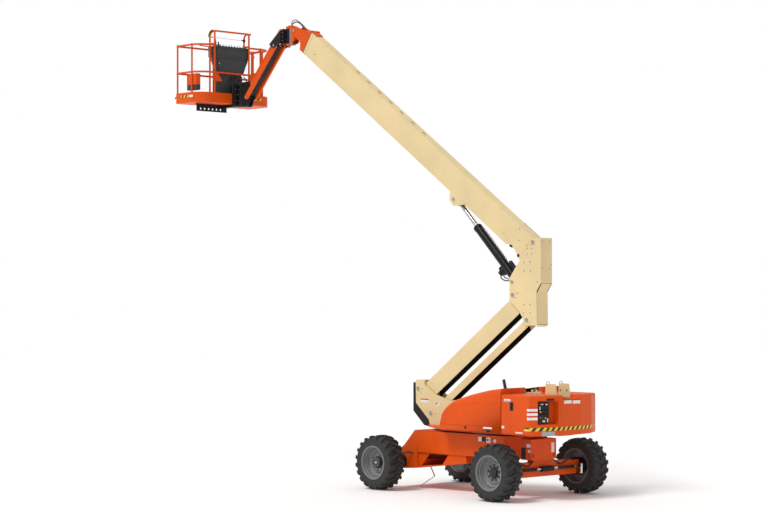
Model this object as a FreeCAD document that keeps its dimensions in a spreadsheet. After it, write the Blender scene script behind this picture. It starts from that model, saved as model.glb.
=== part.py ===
"""Telescopic boom lift on a folding tower, as a parametric document.

Millimetres. The origin is on the ground, midway between the axles and on the centre line:
+X points to the work platform, +Y to the machine's left side and +Z up.
Every size is a cell of the sheet "Sizes"; RULES names what follows from those cells.
"""
import FreeCAD
import Part

import math
import os
import re

import Sketcher

DOC = FreeCAD.newDocument("boom_lift")
NODES = {}

SIZES = {
    # running gear
    "wheelbase": 2735,
    "track_width": 2069,
    "tyre_radius": 462,
    "tyre_width": 351,
    "rim_radius": 290,
    "rim_wall": 14,
    "rim_dish": 25,
    "hub_radius": 100,
    "steer_hub_radius": 75,
    "kingpin_offset": 155,
    "kingpin_radius": 24,
    "steer_arm": 160,
    "steer_line_rise": 130,
    "steer_barrel_radius": 45,
    "steer_rod_radius": 22,
    "fit_gap": 0.5,
    # chassis
    "chassis_width": 1000,
    "chassis_top_z": 1000,
    "chassis_waist_z": 630,
    "chassis_floor_z": 317,
    "chassis_wall": 14,
    "chassis_nose_x": 1067,
    "chassis_front_x": 1560,
    "lower_box_rear_x": -130,
    "taper_start_x": -1050,
    "tail_front_x": -1250,
    "tail_rear_x": -1455,
    "tail_width": 610,
    "tail_top_z": 958,
    "axle_box_rear_x": 1003,
    "axle_box_top_z": 718,
    "axle_box_proud": 12,
    "beam_height": 230,
    "beam_depth": 180,
    # turntable
    "swing_x": -450,
    "bearing_radius": 500,
    "bearing_height": 34.6,
    "deck_z": 1035,
    "deck_thickness": 36,
    "deck_width": 1180,
    "turntable_width": 1600,
    "hood_width": 1500,
    "hood_front_x": 262,
    "hood_split_x": -1200,
    "hood_top_z": 1795,
    "hood_wall": 6,
    "counterweight_front_x": -1206,
    "counterweight_rear_x": -2045,
    "counterweight_bottom_z": 1050,
    "counterweight_top_z": 1700,
    "slot_width": 340,
    "slot_wall": 85,
    "slot_floor_z": 1640,
    "channel_top_z": 1715,
    "channel_rear_x": -1300,
    "hood_hinge_x": -1120,
    "hood_hinge_z": 1728,
    "machinery_front_x": -200,
    # folding tower
    "tower_pin_x": 1370,
    "tower_pin_z": 1686,
    "lower_pin_x": 1054,
    "lower_pin_z": 1276,
    "tower_angle": 35.7,
    "tower_link_length": 2777,
    "tower_link_width": 186,
    "upper_link_depth": 303,
    "upper_link_drop": 10,
    "lower_link_depth": 125,
    "tower_pin_radius": 32,
    "tower_cylinder_radius": 50,
    "tower_rod_radius": 28,
    "foot_along": 2350,
    "foot_drop": 160,
    "link_wall": 10,
    "base_plate_gap": 206,
    "base_plate_thickness": 30,
    "upright_width": 268,
    "upright_plate": 20,
    # main boom
    "boom_pivot_x": -1343,
    "boom_pivot_z": 4170,
    "boom_angle": 34.9,
    "boom_length": 6835,
    "boom_width": 186,
    "boom_depth": 425,
    "boom_rise": 40,
    "boom_wall": 9,
    "fly_gap": 8,
    "boom_pin_radius": 34,
    "cylinder_foot_x": -873,
    "cylinder_foot_z": 3521,
    "rod_pin_along": 1980,
    "rod_pin_drop": 450,
    "cylinder_radius": 72,
    "barrel_length": 1324,
    "rod_radius": 38,
    "cylinder_pin_radius": 26,
    # jib
    "level_pin_x": 4730,
    "level_pin_z": 8200,
    "hose_y": 28,
    "jib_swing_x": 4990,
    "jib_upper_pin_x": 5164,
    "jib_upper_pin_z": 8230,
    "jib_lower_pin_x": 5275,
    "jib_lower_pin_z": 7971,
    "jib_length": 1240,
    "jib_angle": -47,
    "jib_bar_depth": 86,
    "jib_bar_width": 40,
    "jib_bar_spread": 210,
    "jib_pin_radius": 18,
    # platform
    "platform_rear_x": 6550,
    "platform_depth": 760,
    "platform_width": 1830,
    "platform_floor_z": 6985,
    "toe_top_z": 7154,
    "mid_rail_z": 7544,
    "top_rail_z": 8065,
    "platform_corner": 300,
    "rail_radius": 19,
    "post_radius": 17,
    "platform_pivot_x": 6395,
    "hoop_left_y": 522,
    "hoop_right_y": -314,
    "hoop_top_z": 8335,
    "gate_radius": 16,
    "drilled_web": 10,
}

RULES = {
    "axle_x": "wheelbase / 2",
    "wheel_y": "track_width / 2",
    "axle_z": "tyre_radius",
    "hub_hole": "hub_radius - 4",
    "kingpin_y": "wheel_y - kingpin_offset",
    "half_chassis": "chassis_width / 2",
    "half_tail": "tail_width / 2",
    "nose_slope": "(chassis_front_x - chassis_nose_x) * 0.88",
    "deck_top_z": "deck_z + deck_thickness",
    "hood_bottom_z": "deck_z + deck_thickness + 0.4",
    "half_slot": "slot_width / 2",
    "link_half": "tower_link_width / 2",
    "plate_inner_y": "base_plate_gap / 2",
    "plate_outer_y": "base_plate_gap / 2 + base_plate_thickness",
    "hood_hinge_y": "plate_outer_y + 42",
    "upright_pin_x": "tower_pin_x - tower_link_length * cos(tower_angle)",
    "upright_pin_z": "tower_pin_z + tower_link_length * sin(tower_angle)",
    "upright_low_x": "lower_pin_x - tower_link_length * cos(tower_angle)",
    "upright_low_z": "lower_pin_z + tower_link_length * sin(tower_angle)",
    "upright_half": "upright_width / 2",
    "upright_inner": "upright_width / 2 - upright_plate",
    "boom_half": "boom_width / 2",
    "boom_under": "boom_depth - boom_rise",
    "rod_pin_x": "boom_pivot_x + rod_pin_along * cos(boom_angle) + rod_pin_drop * sin(boom_angle)",
    "rod_pin_z": "boom_pivot_z + rod_pin_along * sin(boom_angle) - rod_pin_drop * cos(boom_angle)",
    "lug_gap": "boom_width - 26",
    "fly_half": "boom_half - boom_wall - fly_gap",
    "fly_high": "boom_rise - boom_wall - fly_gap",
    "fly_low": "-(boom_under - 130)",
    "level_along": "(level_pin_x - boom_pivot_x) * cos(boom_angle) + (level_pin_z - boom_pivot_z) * sin(boom_angle)",
    "level_rise": "(level_pin_z - boom_pivot_z) * cos(boom_angle) - (level_pin_x - boom_pivot_x) * sin(boom_angle)",
    "tower_foot_x": "tower_pin_x - foot_along * cos(tower_angle) - foot_drop * sin(tower_angle)",
    "tower_foot_z": "tower_pin_z + foot_along * sin(tower_angle) - foot_drop * cos(tower_angle)",
    "tower_eye_x": "tower_pin_x - 300",
    "tower_eye_z": "tower_pin_z - 85",
    "tower_cylinder_length": "hypot(tower_eye_x - tower_foot_x; tower_eye_z - tower_foot_z)",
    "tower_cylinder_pitch": "atan2(tower_eye_z - tower_foot_z; tower_eye_x - tower_foot_x)",
    "lift_length": "hypot(rod_pin_x - cylinder_foot_x; rod_pin_z - cylinder_foot_z)",
    "lift_angle": "atan2(rod_pin_z - cylinder_foot_z; rod_pin_x - cylinder_foot_x)",
    "bar_inner": "(jib_bar_spread - jib_bar_width) / 2 + 3",
    "bar_outer": "(jib_bar_spread + jib_bar_width) / 2 + 3",
    "end_x": "jib_upper_pin_x + jib_length * cos(jib_angle)",
    "end_z": "jib_upper_pin_z + jib_length * sin(jib_angle)",
    "low_end_x": "jib_lower_pin_x + jib_length * cos(jib_angle)",
    "low_end_z": "jib_lower_pin_z + jib_length * sin(jib_angle)",
    "platform_pivot_low": "platform_floor_z - 30",
    "platform_pivot_high": "end_z - 20",
    "platform_front_x": "platform_rear_x + platform_depth",
    "half_platform": "platform_width / 2",
    "rail_y": "half_platform - rail_radius - 6",
    "rail_back_x": "platform_rear_x + rail_radius + 6",
    "rail_front_x": "platform_front_x - rail_radius - 6",
    "rail_bend": "platform_corner - rail_radius - 6",
    "gate_rear_x": "platform_rear_x + platform_corner + 20",
    "gate_front_x": "platform_front_x - 110",
}


def make_sheet():
    """Writes every driving size into the sheet and gives its cell an alias."""
    sheet = DOC.addObject("Spreadsheet::Sheet", "Sizes")
    for row, (alias, value) in enumerate(SIZES.items(), start=1):
        sheet.set(f"A{row}", alias)
        sheet.set(f"B{row}", str(value))
        sheet.setAlias(f"B{row}", alias)
    DOC.recompute()
    return sheet


SHEET = make_sheet()


def full(text):
    """The expression with each size's name led back to its cell and each rule written out."""
    def word(match):
        name = match.group(0)
        if name in SIZES:
            return "Sizes." + name
        if name in RULES:
            return "(" + full(RULES[name]) + ")"
        return name
    return re.sub(r"[a-z][a-z0-9_]*", word, str(text))


def number(text):
    """The present value of an expression."""
    value = SHEET.evalExpression(full(text))
    return float(getattr(value, "Value", value))


def bind(thing, prop, text):
    thing.setExpression(prop, full(text))


def node(name, thing):
    """Names a finished sub-part: its Label is the name of its file."""
    thing.Label = name
    NODES[name] = thing
    return thing


def place(thing, x="0", y="0", z="0", pitch=None):
    """Puts a shape made in its own frame at x, y, z, turned about +Y so that pitch lifts its +x end."""
    if pitch is not None:
        thing.Placement = FreeCAD.Placement(FreeCAD.Vector(), FreeCAD.Rotation(FreeCAD.Vector(0, 1, 0), 1))
        bind(thing, "Placement.Rotation.Angle", f"-1 * ({pitch})")
    bind(thing, "Placement.Base.x", x)
    bind(thing, "Placement.Base.y", y)
    bind(thing, "Placement.Base.z", z)
    return thing


def pair_y(mark, low, high):
    """The pair of planes between low and high on the left side, or its mirror on the right."""
    return (low, high) if mark > 0 else (f"-({high})", f"-({low})")


def mark_y(mark, y):
    return y if mark > 0 else f"-({y})"


def fused(name, things, refine=True):
    joined = DOC.addObject("Part::MultiFuse", name)
    joined.Shapes = things
    joined.Refine = refine
    return joined


def cut(name, base, tools):
    """The base with every tool taken away."""
    result = DOC.addObject("Part::Cut", name)
    result.Base = base
    result.Tool = tools[0] if len(tools) == 1 else fused(name + "_tools", tools)
    return result


def block(name, x, y, z):
    """A box between the given pairs of planes."""
    box = DOC.addObject("Part::Box", name)
    for prop, axis, (low, high) in (("Length", "x", x), ("Width", "y", y), ("Height", "z", z)):
        bind(box, prop, f"({high}) - ({low})")
        bind(box, f"Placement.Base.{axis}", low)
    return box


TURNS = {"X": ((0, 1, 0), 90), "Y": ((1, 0, 0), -90), "Z": ((0, 0, 1), 0)}


def rod(name, axis, centre, radius, low, high):
    """A cylinder along X, Y or Z from low to high; centre gives its two other coordinates in order."""
    bar = DOC.addObject("Part::Cylinder", name)
    normal, angle = TURNS[axis]
    bar.Placement = FreeCAD.Placement(FreeCAD.Vector(), FreeCAD.Rotation(FreeCAD.Vector(*normal), angle))
    bind(bar, "Radius", radius)
    bind(bar, "Height", f"({high}) - ({low})")
    others = [letter for letter in "XYZ" if letter != axis]
    bind(bar, f"Placement.Base.{axis.lower()}", low)
    for letter, value in zip(others, centre):
        bind(bar, f"Placement.Base.{letter.lower()}", value)
    return bar


def pipe(name, axis, centre, radius, wall, low, high):
    """A round tube along X, Y or Z."""
    outside = rod(name + "_outside", axis, centre, radius, low, high)
    inside = rod(name + "_inside", axis, centre, f"({radius}) - ({wall})", f"({low}) - 1", f"({high}) + 1")
    return cut(name, outside, [inside])


PLANES = {"XY": ("XY_Plane", 1), "XZ": ("XZ_Plane", -1), "YZ": ("YZ_Plane", 1)}


def sketch_on(body, name, plane, offset):
    """An empty sketch on one of the body's own planes, moved along that plane's positive axis."""
    role, sign = PLANES[plane]
    sketch = body.newObject("Sketcher::SketchObject", name)
    origin_plane = next(item for item in body.Origin.OriginFeatures if item.Role == role)
    sketch.AttachmentSupport = [(origin_plane, "")]
    sketch.MapMode = "FlatFace"
    bind(sketch, "AttachmentOffset.Base.z", f"{sign} * ({offset})")
    return sketch


def pin_point(sketch, geometry, end, point):
    """Holds a point of the sketch at the two expressions of point."""
    for kind, text in zip(("DistanceX", "DistanceY"), point):
        index = sketch.addConstraint(Sketcher.Constraint(kind, -1, 1, geometry, end, number(text)))
        sketch.setExpression(f"Constraints[{index}]", full(text))


def draw(sketch, points):
    """A closed outline through points (x, y) or (x, y, corner radius)."""
    flat = [FreeCAD.Vector(number(point[0]), number(point[1]), 0) for point in points]
    count = len(points)
    starts, ends, arcs = list(flat), list(flat), {}
    for i, point in enumerate(points):
        if len(point) < 3:
            continue
        radius = number(point[2])
        back = (flat[i - 1] - flat[i]).normalize()
        ahead = (flat[(i + 1) % count] - flat[i]).normalize()
        half = back.getAngle(ahead) / 2
        reach = radius / math.tan(half)
        ends[i] = flat[i] + back * reach
        starts[i] = flat[i] + ahead * reach
        centre = flat[i] + (back + ahead).normalize() * (radius / math.sin(half))
        left_turn = back.cross(ahead).z < 0
        first, last = (ends[i], starts[i]) if left_turn else (starts[i], ends[i])
        spoke = first - centre
        begin = math.atan2(spoke.y, spoke.x)
        circle = Part.Circle(centre, FreeCAD.Vector(0, 0, 1), radius)
        arcs[i] = (Part.ArcOfCircle(circle, begin, begin + math.pi - 2 * half), left_turn, point[2])
    lines = [
        sketch.addGeometry(Part.LineSegment(starts[i], ends[(i + 1) % count]), False) for i in range(count)
    ]
    for i, point in enumerate(points):
        if i not in arcs:
            sketch.addConstraint(Sketcher.Constraint("Coincident", lines[i - 1], 2, lines[i], 1))
            pin_point(sketch, lines[i], 1, point)
            continue
        shape, left_turn, radius_text = arcs[i]
        arc = sketch.addGeometry(shape, False)
        corner = sketch.addGeometry(Part.Point(flat[i]), True)
        into, out = (1, 2) if left_turn else (2, 1)
        sketch.addConstraint(Sketcher.Constraint("Tangent", lines[i - 1], 2, arc, into))
        sketch.addConstraint(Sketcher.Constraint("Tangent", lines[i], 1, arc, out))
        sketch.addConstraint(Sketcher.Constraint("PointOnObject", corner, 1, lines[i - 1]))
        sketch.addConstraint(Sketcher.Constraint("PointOnObject", corner, 1, lines[i]))
        pin_point(sketch, corner, 1, point)
        index = sketch.addConstraint(Sketcher.Constraint("Radius", arc, number(radius_text)))
        sketch.setExpression(f"Constraints[{index}]", full(radius_text))


def padded(name, plane, points, low, high):
    """A body with one outline padded between two distances along the plane's positive axis."""
    body = DOC.addObject("PartDesign::Body", name)
    sketch = sketch_on(body, name + "_outline", plane, high if plane == "XZ" else low)
    draw(sketch, points)
    pad = body.newObject("PartDesign::Pad", name + "_pad")
    pad.Profile = sketch
    bind(pad, "Length", f"({high}) - ({low})")
    return body


def turned(name, points):
    """A body turned about the Y axis from an outline of (y, radius) points."""
    body = DOC.addObject("PartDesign::Body", name)
    sketch = sketch_on(body, name + "_outline", "YZ", "0")
    draw(sketch, points)
    revolution = body.newObject("PartDesign::Revolution", name + "_turn")
    revolution.Profile = sketch
    revolution.ReferenceAxis = (sketch, ["H_Axis"])
    revolution.Angle = 360
    return body


# ---------------------------------------------------------------- chassis

def chassis_frame():
    """Welded box: a wide upper hull with a sloped nose, a narrower lower box and a tail over the steer axle."""
    inner = "half_chassis - chassis_wall"
    hull = padded("hull", "XZ", [
        ("taper_start_x", "chassis_waist_z"),
        ("axle_box_rear_x", "chassis_waist_z"),
        ("chassis_front_x", "chassis_waist_z - 70"),
        ("chassis_nose_x + nose_slope", "chassis_waist_z - 70"),
        ("chassis_nose_x", "chassis_top_z"),
        ("taper_start_x", "chassis_top_z"),
    ], "-half_chassis", "half_chassis")
    lower = padded("lower_box", "XZ", [
        ("lower_box_rear_x", "chassis_waist_z + 1"),
        ("lower_box_rear_x - 25", "chassis_floor_z + 180"),
        ("axle_box_rear_x + 5", "chassis_floor_z + 38"),
        ("axle_box_rear_x + 5", "chassis_waist_z + 1"),
    ], "-(half_chassis - 26)", "half_chassis - 26")
    axle_box = padded("axle_box", "XZ", [
        ("axle_box_rear_x", "chassis_floor_z + 38"),
        ("chassis_front_x", "chassis_floor_z"),
        ("chassis_front_x", "chassis_waist_z - 70"),
        ("chassis_nose_x + (chassis_top_z - axle_box_top_z) * 0.985", "axle_box_top_z"),
        ("axle_box_rear_x", "axle_box_top_z"),
    ], "-(half_chassis + axle_box_proud)", "half_chassis + axle_box_proud")
    taper = padded("taper", "XY", [
        ("taper_start_x + 1", "half_chassis"), ("tail_front_x", "half_tail"),
        ("tail_front_x", "-half_tail"), ("taper_start_x + 1", "-half_chassis"),
    ], "chassis_waist_z", "chassis_top_z")
    tail = block("tail", ("tail_rear_x", "tail_front_x + 1"), ("-half_tail", "half_tail"),
                 ("chassis_waist_z - 10", "tail_top_z"))
    room = block("hull_room", ("taper_start_x + chassis_wall", "chassis_nose_x - chassis_wall"),
                 (f"-({inner})", inner),
                 ("chassis_waist_z + chassis_wall", "chassis_top_z - chassis_wall"))
    lower_room = block("lower_room", ("lower_box_rear_x + chassis_wall", "axle_box_rear_x - chassis_wall"),
                       (f"-({inner} - 26)", f"{inner} - 26"),
                       ("chassis_floor_z + 180 + chassis_wall", "chassis_waist_z + chassis_wall + 1"))
    window = padded("side_window", "XZ", [
        ("280", "615"), ("425", "440"), ("940", "398"), ("730", "612"),
    ], "-half_chassis", "half_chassis")
    swivel_hole = rod("swivel_hole", "Z", ("swing_x", "0"), "bearing_radius - 180",
                      "chassis_top_z - chassis_wall - 1", "chassis_top_z + 1")
    shaft_hole = rod("shaft_hole", "Y", ("axle_x", "axle_z"), "60.5", "-half_chassis - 60",
                     "half_chassis + 60")
    solid = fused("chassis_solid", [hull, lower, axle_box, taper, tail])
    return node("chassis_frame", cut("chassis", solid, [room, lower_room, window, swivel_hole, shaft_hole]))


def swing_bearing():
    """Slewing ring between the chassis and the turntable's deck."""
    ring = pipe("bearing_ring", "Z", ("swing_x", "0"), "bearing_radius", "150",
                "chassis_top_z", "chassis_top_z + bearing_height")
    return node("swing_bearing", ring)


def drive_axle():
    """Axle shaft through the chassis with a motor housing and a wheel spindle at each end."""
    line = ("axle_x", "axle_z")
    seat = "half_chassis + axle_box_proud + 0.4"
    pieces = [rod("axle_shaft", "Y", line, "60", f"-({seat})", seat)]
    for mark in (1, -1):
        pieces.append(rod("motor", "Y", line, "hub_radius + 15",
                          *pair_y(mark, seat, "wheel_y + rim_dish - 17.5")))
        pieces.append(rod("spindle", "Y", line, "45",
                          *pair_y(mark, "wheel_y + rim_dish - 18", "wheel_y + rim_dish + 40")))
    return node("drive_axle", fused("drive_axle_solid", pieces))


def steer_axle():
    """Welded beam across the tail with a kingpin boss at each end."""
    half = "beam_height / 2"
    boss = f"({half} - 2)"
    beam = block("beam", ("-axle_x - beam_depth / 2", "-axle_x + beam_depth / 2"),
                 ("-(kingpin_y - 90)", "kingpin_y - 90"), (f"axle_z - {half}", f"axle_z + {half}"))
    saddle = block("saddle", ("-axle_x - beam_depth / 2 + 20", "-axle_x + beam_depth / 2 - 20"),
                   ("-220", "220"), (f"axle_z + {half} - 1", "chassis_waist_z - 10"))
    parts = [beam, saddle]
    bores = []
    for side, sign in (("left", ""), ("right", "-")):
        centre = ("-axle_x", f"{sign}kingpin_y")
        neck_y = ("kingpin_y - 100", "kingpin_y")
        if sign:
            neck_y = ("-kingpin_y", "-(kingpin_y - 100)")
        parts.append(rod(f"boss_{side}", "Z", centre, "56", f"axle_z - {boss}", f"axle_z + {boss}"))
        parts.append(block(f"neck_{side}", ("-axle_x - 50", "-axle_x + 50"), neck_y,
                           (f"axle_z - {boss}", f"axle_z + {boss}")))
        bores.append(rod(f"boss_bore_{side}", "Z", centre, "kingpin_radius + 0.05",
                         f"axle_z - {half} - 1", f"axle_z + {half} + 1"))
    return node("steer_axle", cut("steer_axle_solid", fused("steer_beam", parts), bores))


def knuckle(side, sign):
    """Fork round the beam's boss with its kingpin, wheel spindle and steering arm."""
    half = "beam_height / 2"
    plate_low = (f"axle_z - {half} - 26", f"axle_z - {half} - 2")
    plate_high = (f"axle_z + {half} + 2", f"axle_z + {half} + 26")

    def across(low, high):
        return (low, high) if sign > 0 else (f"-({high})", f"-({low})")

    mark = "" if sign > 0 else "-"
    centre = ("-axle_x", f"{mark}kingpin_y")
    name = "knuckle_" + side
    plates = [
        block(f"{name}_plate_{i}", ("-axle_x - 60", "-axle_x + 60"),
              across("kingpin_y - 60", "kingpin_y + 110"), z)
        for i, z in enumerate((plate_low, plate_high))
    ]
    web = block(name + "_web", ("-axle_x - 60", "-axle_x + 60"), across("kingpin_y + 80", "kingpin_y + 112"),
                (plate_low[0], plate_high[1]))
    pin = rod(name + "_pin", "Z", centre, "kingpin_radius", plate_low[0], plate_high[1])
    spindle = rod(name + "_spindle", "Y", ("-axle_x", "axle_z"), "34",
                  *across("kingpin_y + 100", "wheel_y + rim_dish + 20"))
    arm = block(name + "_arm", ("-axle_x - steer_arm - 30", "-axle_x - 50"),
                across("kingpin_y - 60", "kingpin_y - 10"), plate_low)
    return node(name, fused(name + "_solid", plates + [web, pin, spindle, arm]))


def steering():
    """Fixed barrel behind the beam and the rod that runs through it to both steering arms."""
    line = ("-axle_x - steer_arm", "axle_z - beam_height / 2 + steer_line_rise")
    barrel_outside = rod("steer_barrel_outside", "Y", line, "steer_barrel_radius", "-140", "140")
    saddle = block("steer_barrel_saddle", ("-axle_x - steer_arm + 30", "-axle_x - beam_depth / 2"),
                   ("-60", "60"),
                   (f"{line[1]} - 30", f"{line[1]} + 30"))
    bore = rod("steer_barrel_bore", "Y", line, "steer_rod_radius + 0.3", "-141", "141")
    node("steering_cylinder",
         cut("steering_barrel", fused("steer_barrel_solid", [barrel_outside, saddle]), [bore]))
    reach = "kingpin_y - 35"
    bar = rod("steer_bar", "Y", line, "steer_rod_radius", f"-({reach})", reach)
    eyes = []
    for mark in ("", "-"):
        eyes.append(rod("steer_eye", "Z", ("-axle_x - steer_arm", f"{mark}({reach})"), "34",
                        "axle_z - beam_height / 2 + 6", f"{line[1]} + 30"))
    node("steering_rod", fused("steering_rod_solid", [bar] + eyes))


def ground_strap():
    """Bent wire that trails under the chassis."""
    y = ("285", "297")
    fall = "142 / (axle_box_rear_x - lower_box_rear_x + 30)"
    seat = f"chassis_floor_z + 37.6 + (axle_box_rear_x + 5 - {{}}) * {fall}"
    upper = padded("strap_upper", "XZ", [
        ("886", seat.format(886)), ("899", seat.format(899)), ("802", "217"), ("789", "217"),
    ], *y)
    lower = padded("strap_lower", "XZ", [("789", "223"), ("797", "211"), ("1118", "36"), ("1112", "48")], *y)
    return node("ground_strap", fused("ground_strap_solid", [upper, lower]))


# ---------------------------------------------------------------- wheels

def wheel(name, sign, x, hub):
    """Tyre, dished rim and hub, made about the Y axis with the outer face on +Y, then put at its axle."""
    half = "tyre_width / 2"
    seat = "rim_radius + fit_gap"
    tyre = turned("tyre_" + name, [
        (f"-{half}", f"{seat}"), (f"{half}", f"{seat}"),
        (f"{half}", "tyre_radius - 62"), (f"{half} - 16", "tyre_radius - 16"),
        (f"{half} - 50", "tyre_radius"),
        (f"-({half} - 50)", "tyre_radius"), (f"-({half} - 16)", "tyre_radius - 16"),
        (f"-{half}", "tyre_radius - 62"),
    ])
    lip = f"({half} - 6)"
    inner = "rim_radius - rim_wall"
    rim = turned("rim_" + name, [
        (f"-{lip}", inner), ("rim_dish - 7", inner), ("rim_dish - 7", "hub_hole"),
        ("rim_dish + 7", "hub_hole"),
        ("rim_dish + 7", "rim_radius - 90"), ("rim_dish + 52", "rim_radius - 46"),
        (f"{lip} - 60", "rim_radius - 46"),
        (f"{lip} - 50", inner), (lip, inner),
        (lip, "rim_radius"), (f"-{lip}", "rim_radius"),
    ])
    if hub == "drive":
        profile = [
            ("rim_dish - 12", "45.05"), ("rim_dish - 12", "hub_radius + 30"),
            ("rim_dish - 7.2", "hub_radius + 30"),
            ("rim_dish - 7.2", "hub_hole - fit_gap"), ("rim_dish + 20", "hub_hole - fit_gap"),
            ("rim_dish + 20", "hub_radius"), ("rim_dish + 66", "hub_radius"),
            ("rim_dish + 72", "hub_radius - 8"),
            ("rim_dish + 72", "0"), ("rim_dish + 41", "0"), ("rim_dish + 41", "45.05"),
        ]
    else:
        profile = [
            ("rim_dish - 40", "34.05"), ("rim_dish - 40", "hub_radius + 20"),
            ("rim_dish - 7.2", "hub_radius + 20"),
            ("rim_dish - 7.2", "hub_hole - fit_gap"), ("rim_dish + 14", "hub_hole - fit_gap"),
            ("rim_dish + 14", "steer_hub_radius"), ("rim_dish + 40", "steer_hub_radius - 4"),
            ("rim_dish + 40", "0"), ("rim_dish + 21", "0"), ("rim_dish + 21", "34.05"),
        ]
    hub_body = turned("hub_" + name, profile)
    for body in (tyre, rim, hub_body):
        turn = 0 if sign > 0 else 180
        body.Placement = FreeCAD.Placement(FreeCAD.Vector(), FreeCAD.Rotation(FreeCAD.Vector(0, 0, 1), turn))
        place(body, x, "wheel_y" if sign > 0 else "-wheel_y", "axle_z")
        node(body.Label, body)


# ---------------------------------------------------------------- turntable

def turntable_deck():
    """Thick plate on the slewing ring that carries the tower, the hoods and the counterweight."""
    plate = padded("deck_plate", "XY", [
        ("1100", "-150"), ("1100", "150"), ("hood_front_x", "deck_width / 2"),
        ("counterweight_front_x + 0.4", "deck_width / 2"), ("counterweight_front_x + 0.4", "half_slot - 6"),
        ("counterweight_rear_x + slot_wall + 5", "half_slot - 6"),
        ("counterweight_rear_x + slot_wall + 5", "-(half_slot - 6)"),
        ("counterweight_front_x + 0.4", "-(half_slot - 6)"),
        ("counterweight_front_x + 0.4", "-deck_width / 2"), ("hood_front_x", "-deck_width / 2"),
    ], "deck_z", "deck_top_z")
    return node("turntable_deck", plate)


def tower_base():
    """Two upright plates that hold both tower pins and run back between the hoods as a channel."""
    outline = [
        ("1079", "deck_top_z"), ("1106", "1156"), ("1423", "1433"), ("tower_pin_x + 64", "tower_pin_z + 141"),
        ("tower_pin_x - 155", "tower_pin_z + 141"), ("1205", "1745"), ("921", "1588"), ("585", "1503"),
        ("hood_split_x", "channel_top_z"), ("channel_rear_x", "channel_top_z"),
        ("channel_rear_x", "deck_top_z"),
    ]
    plates = [
        padded("base_plate_left", "XZ", outline, "plate_inner_y", "plate_outer_y"),
        padded("base_plate_right", "XZ", outline, "-plate_outer_y", "-plate_inner_y"),
    ]
    stub = "plate_outer_y + 10"
    pins = []
    for name, centre in (("tower_pin", ("tower_pin_x", "tower_pin_z")),
                         ("lower_pin", ("lower_pin_x", "lower_pin_z"))):
        pins.append(rod(name, "Y", centre, "tower_pin_radius", f"-({stub})", stub))
    beam = padded("fork_beam", "XZ", [
        ("1140", "1192"), ("1290", "1323"), ("1270", "1346"), ("1120", "1215"),
    ], "-(plate_inner_y + 1)", "plate_inner_y + 1")
    fork = [
        ("1150", "1225"), ("1270", "1340"), ("tower_eye_x + 38", "tower_eye_z + 19"),
        ("tower_eye_x + 15", "tower_eye_z + 39"), ("tower_eye_x - 20", "tower_eye_z + 39"),
        ("tower_eye_x - 40", "tower_eye_z + 9"), ("tower_eye_x - 40", "tower_eye_z - 21"),
    ]
    for mark in (1, -1):
        plates.append(padded("fork_lug", "XZ", fork, *pair_y(mark, "36", "56")))
        pins.append(rod("fork_pin_head", "Y", ("tower_eye_x", "tower_eye_z"), "22",
                        *pair_y(mark, "55", "62")))
    plates.append(beam)
    ears, bores = [], []
    for mark in (1, -1):
        hinge_y = mark_y(mark, "hood_hinge_y")
        for x in ("hood_hinge_x - 65", "hood_hinge_x + 35"):
            ears.append(block("hood_hinge_ear", (x, f"{x} + 30"),
                              pair_y(mark, "plate_outer_y - 1", "hood_hinge_y + 14"),
                              ("channel_top_z - 30", "hood_hinge_z + 14")))
        bores.append(rod("hood_hinge_bore", "X", (hinge_y, "hood_hinge_z"), "10.05",
                         "hood_hinge_x - 70", "hood_hinge_x + 70"))
    return node("tower_base",
                cut("tower_base_solid", fused("tower_base_pieces", plates + pins + ears), bores))


def front_cover():
    """Black cover bent over the front of the tower's base."""
    cover = padded("front_cover_body", "XZ", [
        ("1222", "1058"), ("1492", "1296"), ("1492", "1789"), ("1433.4", "1789"), ("1423.4", "1433"),
        ("1106.6", "1155.4"), ("1080", "deck_top_z + 0.4"), ("1100.4", "deck_top_z + 0.4"),
        ("1100.4", "deck_z + 3"),
    ], "-plate_outer_y", "plate_outer_y")
    return node("front_cover", cover)


def counterweight():
    """Cast rear weight with a deep slot that takes the upright's foot when the tower is down."""
    plan = [
        ("counterweight_front_x", "-turntable_width / 2 + 50"), ("-1700", "-turntable_width / 2 + 5"),
        ("-1875", "-turntable_width / 2"), ("-2000", "-560"), ("counterweight_rear_x - 10", "-250"),
        ("counterweight_rear_x - 10", "250"), ("-2000", "560"), ("-1875", "turntable_width / 2"),
        ("-1700", "turntable_width / 2 - 5"), ("counterweight_front_x", "turntable_width / 2 - 50"),
    ]
    mass = padded("counterweight_mass", "XY", plan, "counterweight_bottom_z", "counterweight_top_z")
    deck_room = block("deck_room", ("counterweight_rear_x + slot_wall", "counterweight_front_x + 1"),
                      ("-half_slot", "half_slot"), ("counterweight_bottom_z - 1", "counterweight_top_z + 1"))
    notch = block("slot_notch", ("counterweight_rear_x - 60", "counterweight_rear_x + slot_wall + 1"),
                  ("-half_slot", "half_slot"), ("slot_floor_z", "counterweight_top_z + 1"))
    recess = block("control_recess", ("-2060", "-1900"), ("280", "650"), ("1240", "1610"))
    return node("counterweight", cut("counterweight_solid", mass, [deck_room, notch, recess]))


def upright_guides():
    """Guide plates on the slot's walls that lead the upright's foot in."""
    outline = [("-1640", "1640"), ("-1655", "1868"), ("-1860", "1868"), ("-1900", "1640")]
    for side, mark in (("left", 1), ("right", -1)):
        name = "upright_guide_" + side
        node(name, padded(name, "XZ", outline, *pair_y(mark, "half_slot - 22", "half_slot - 0.4")))


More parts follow.
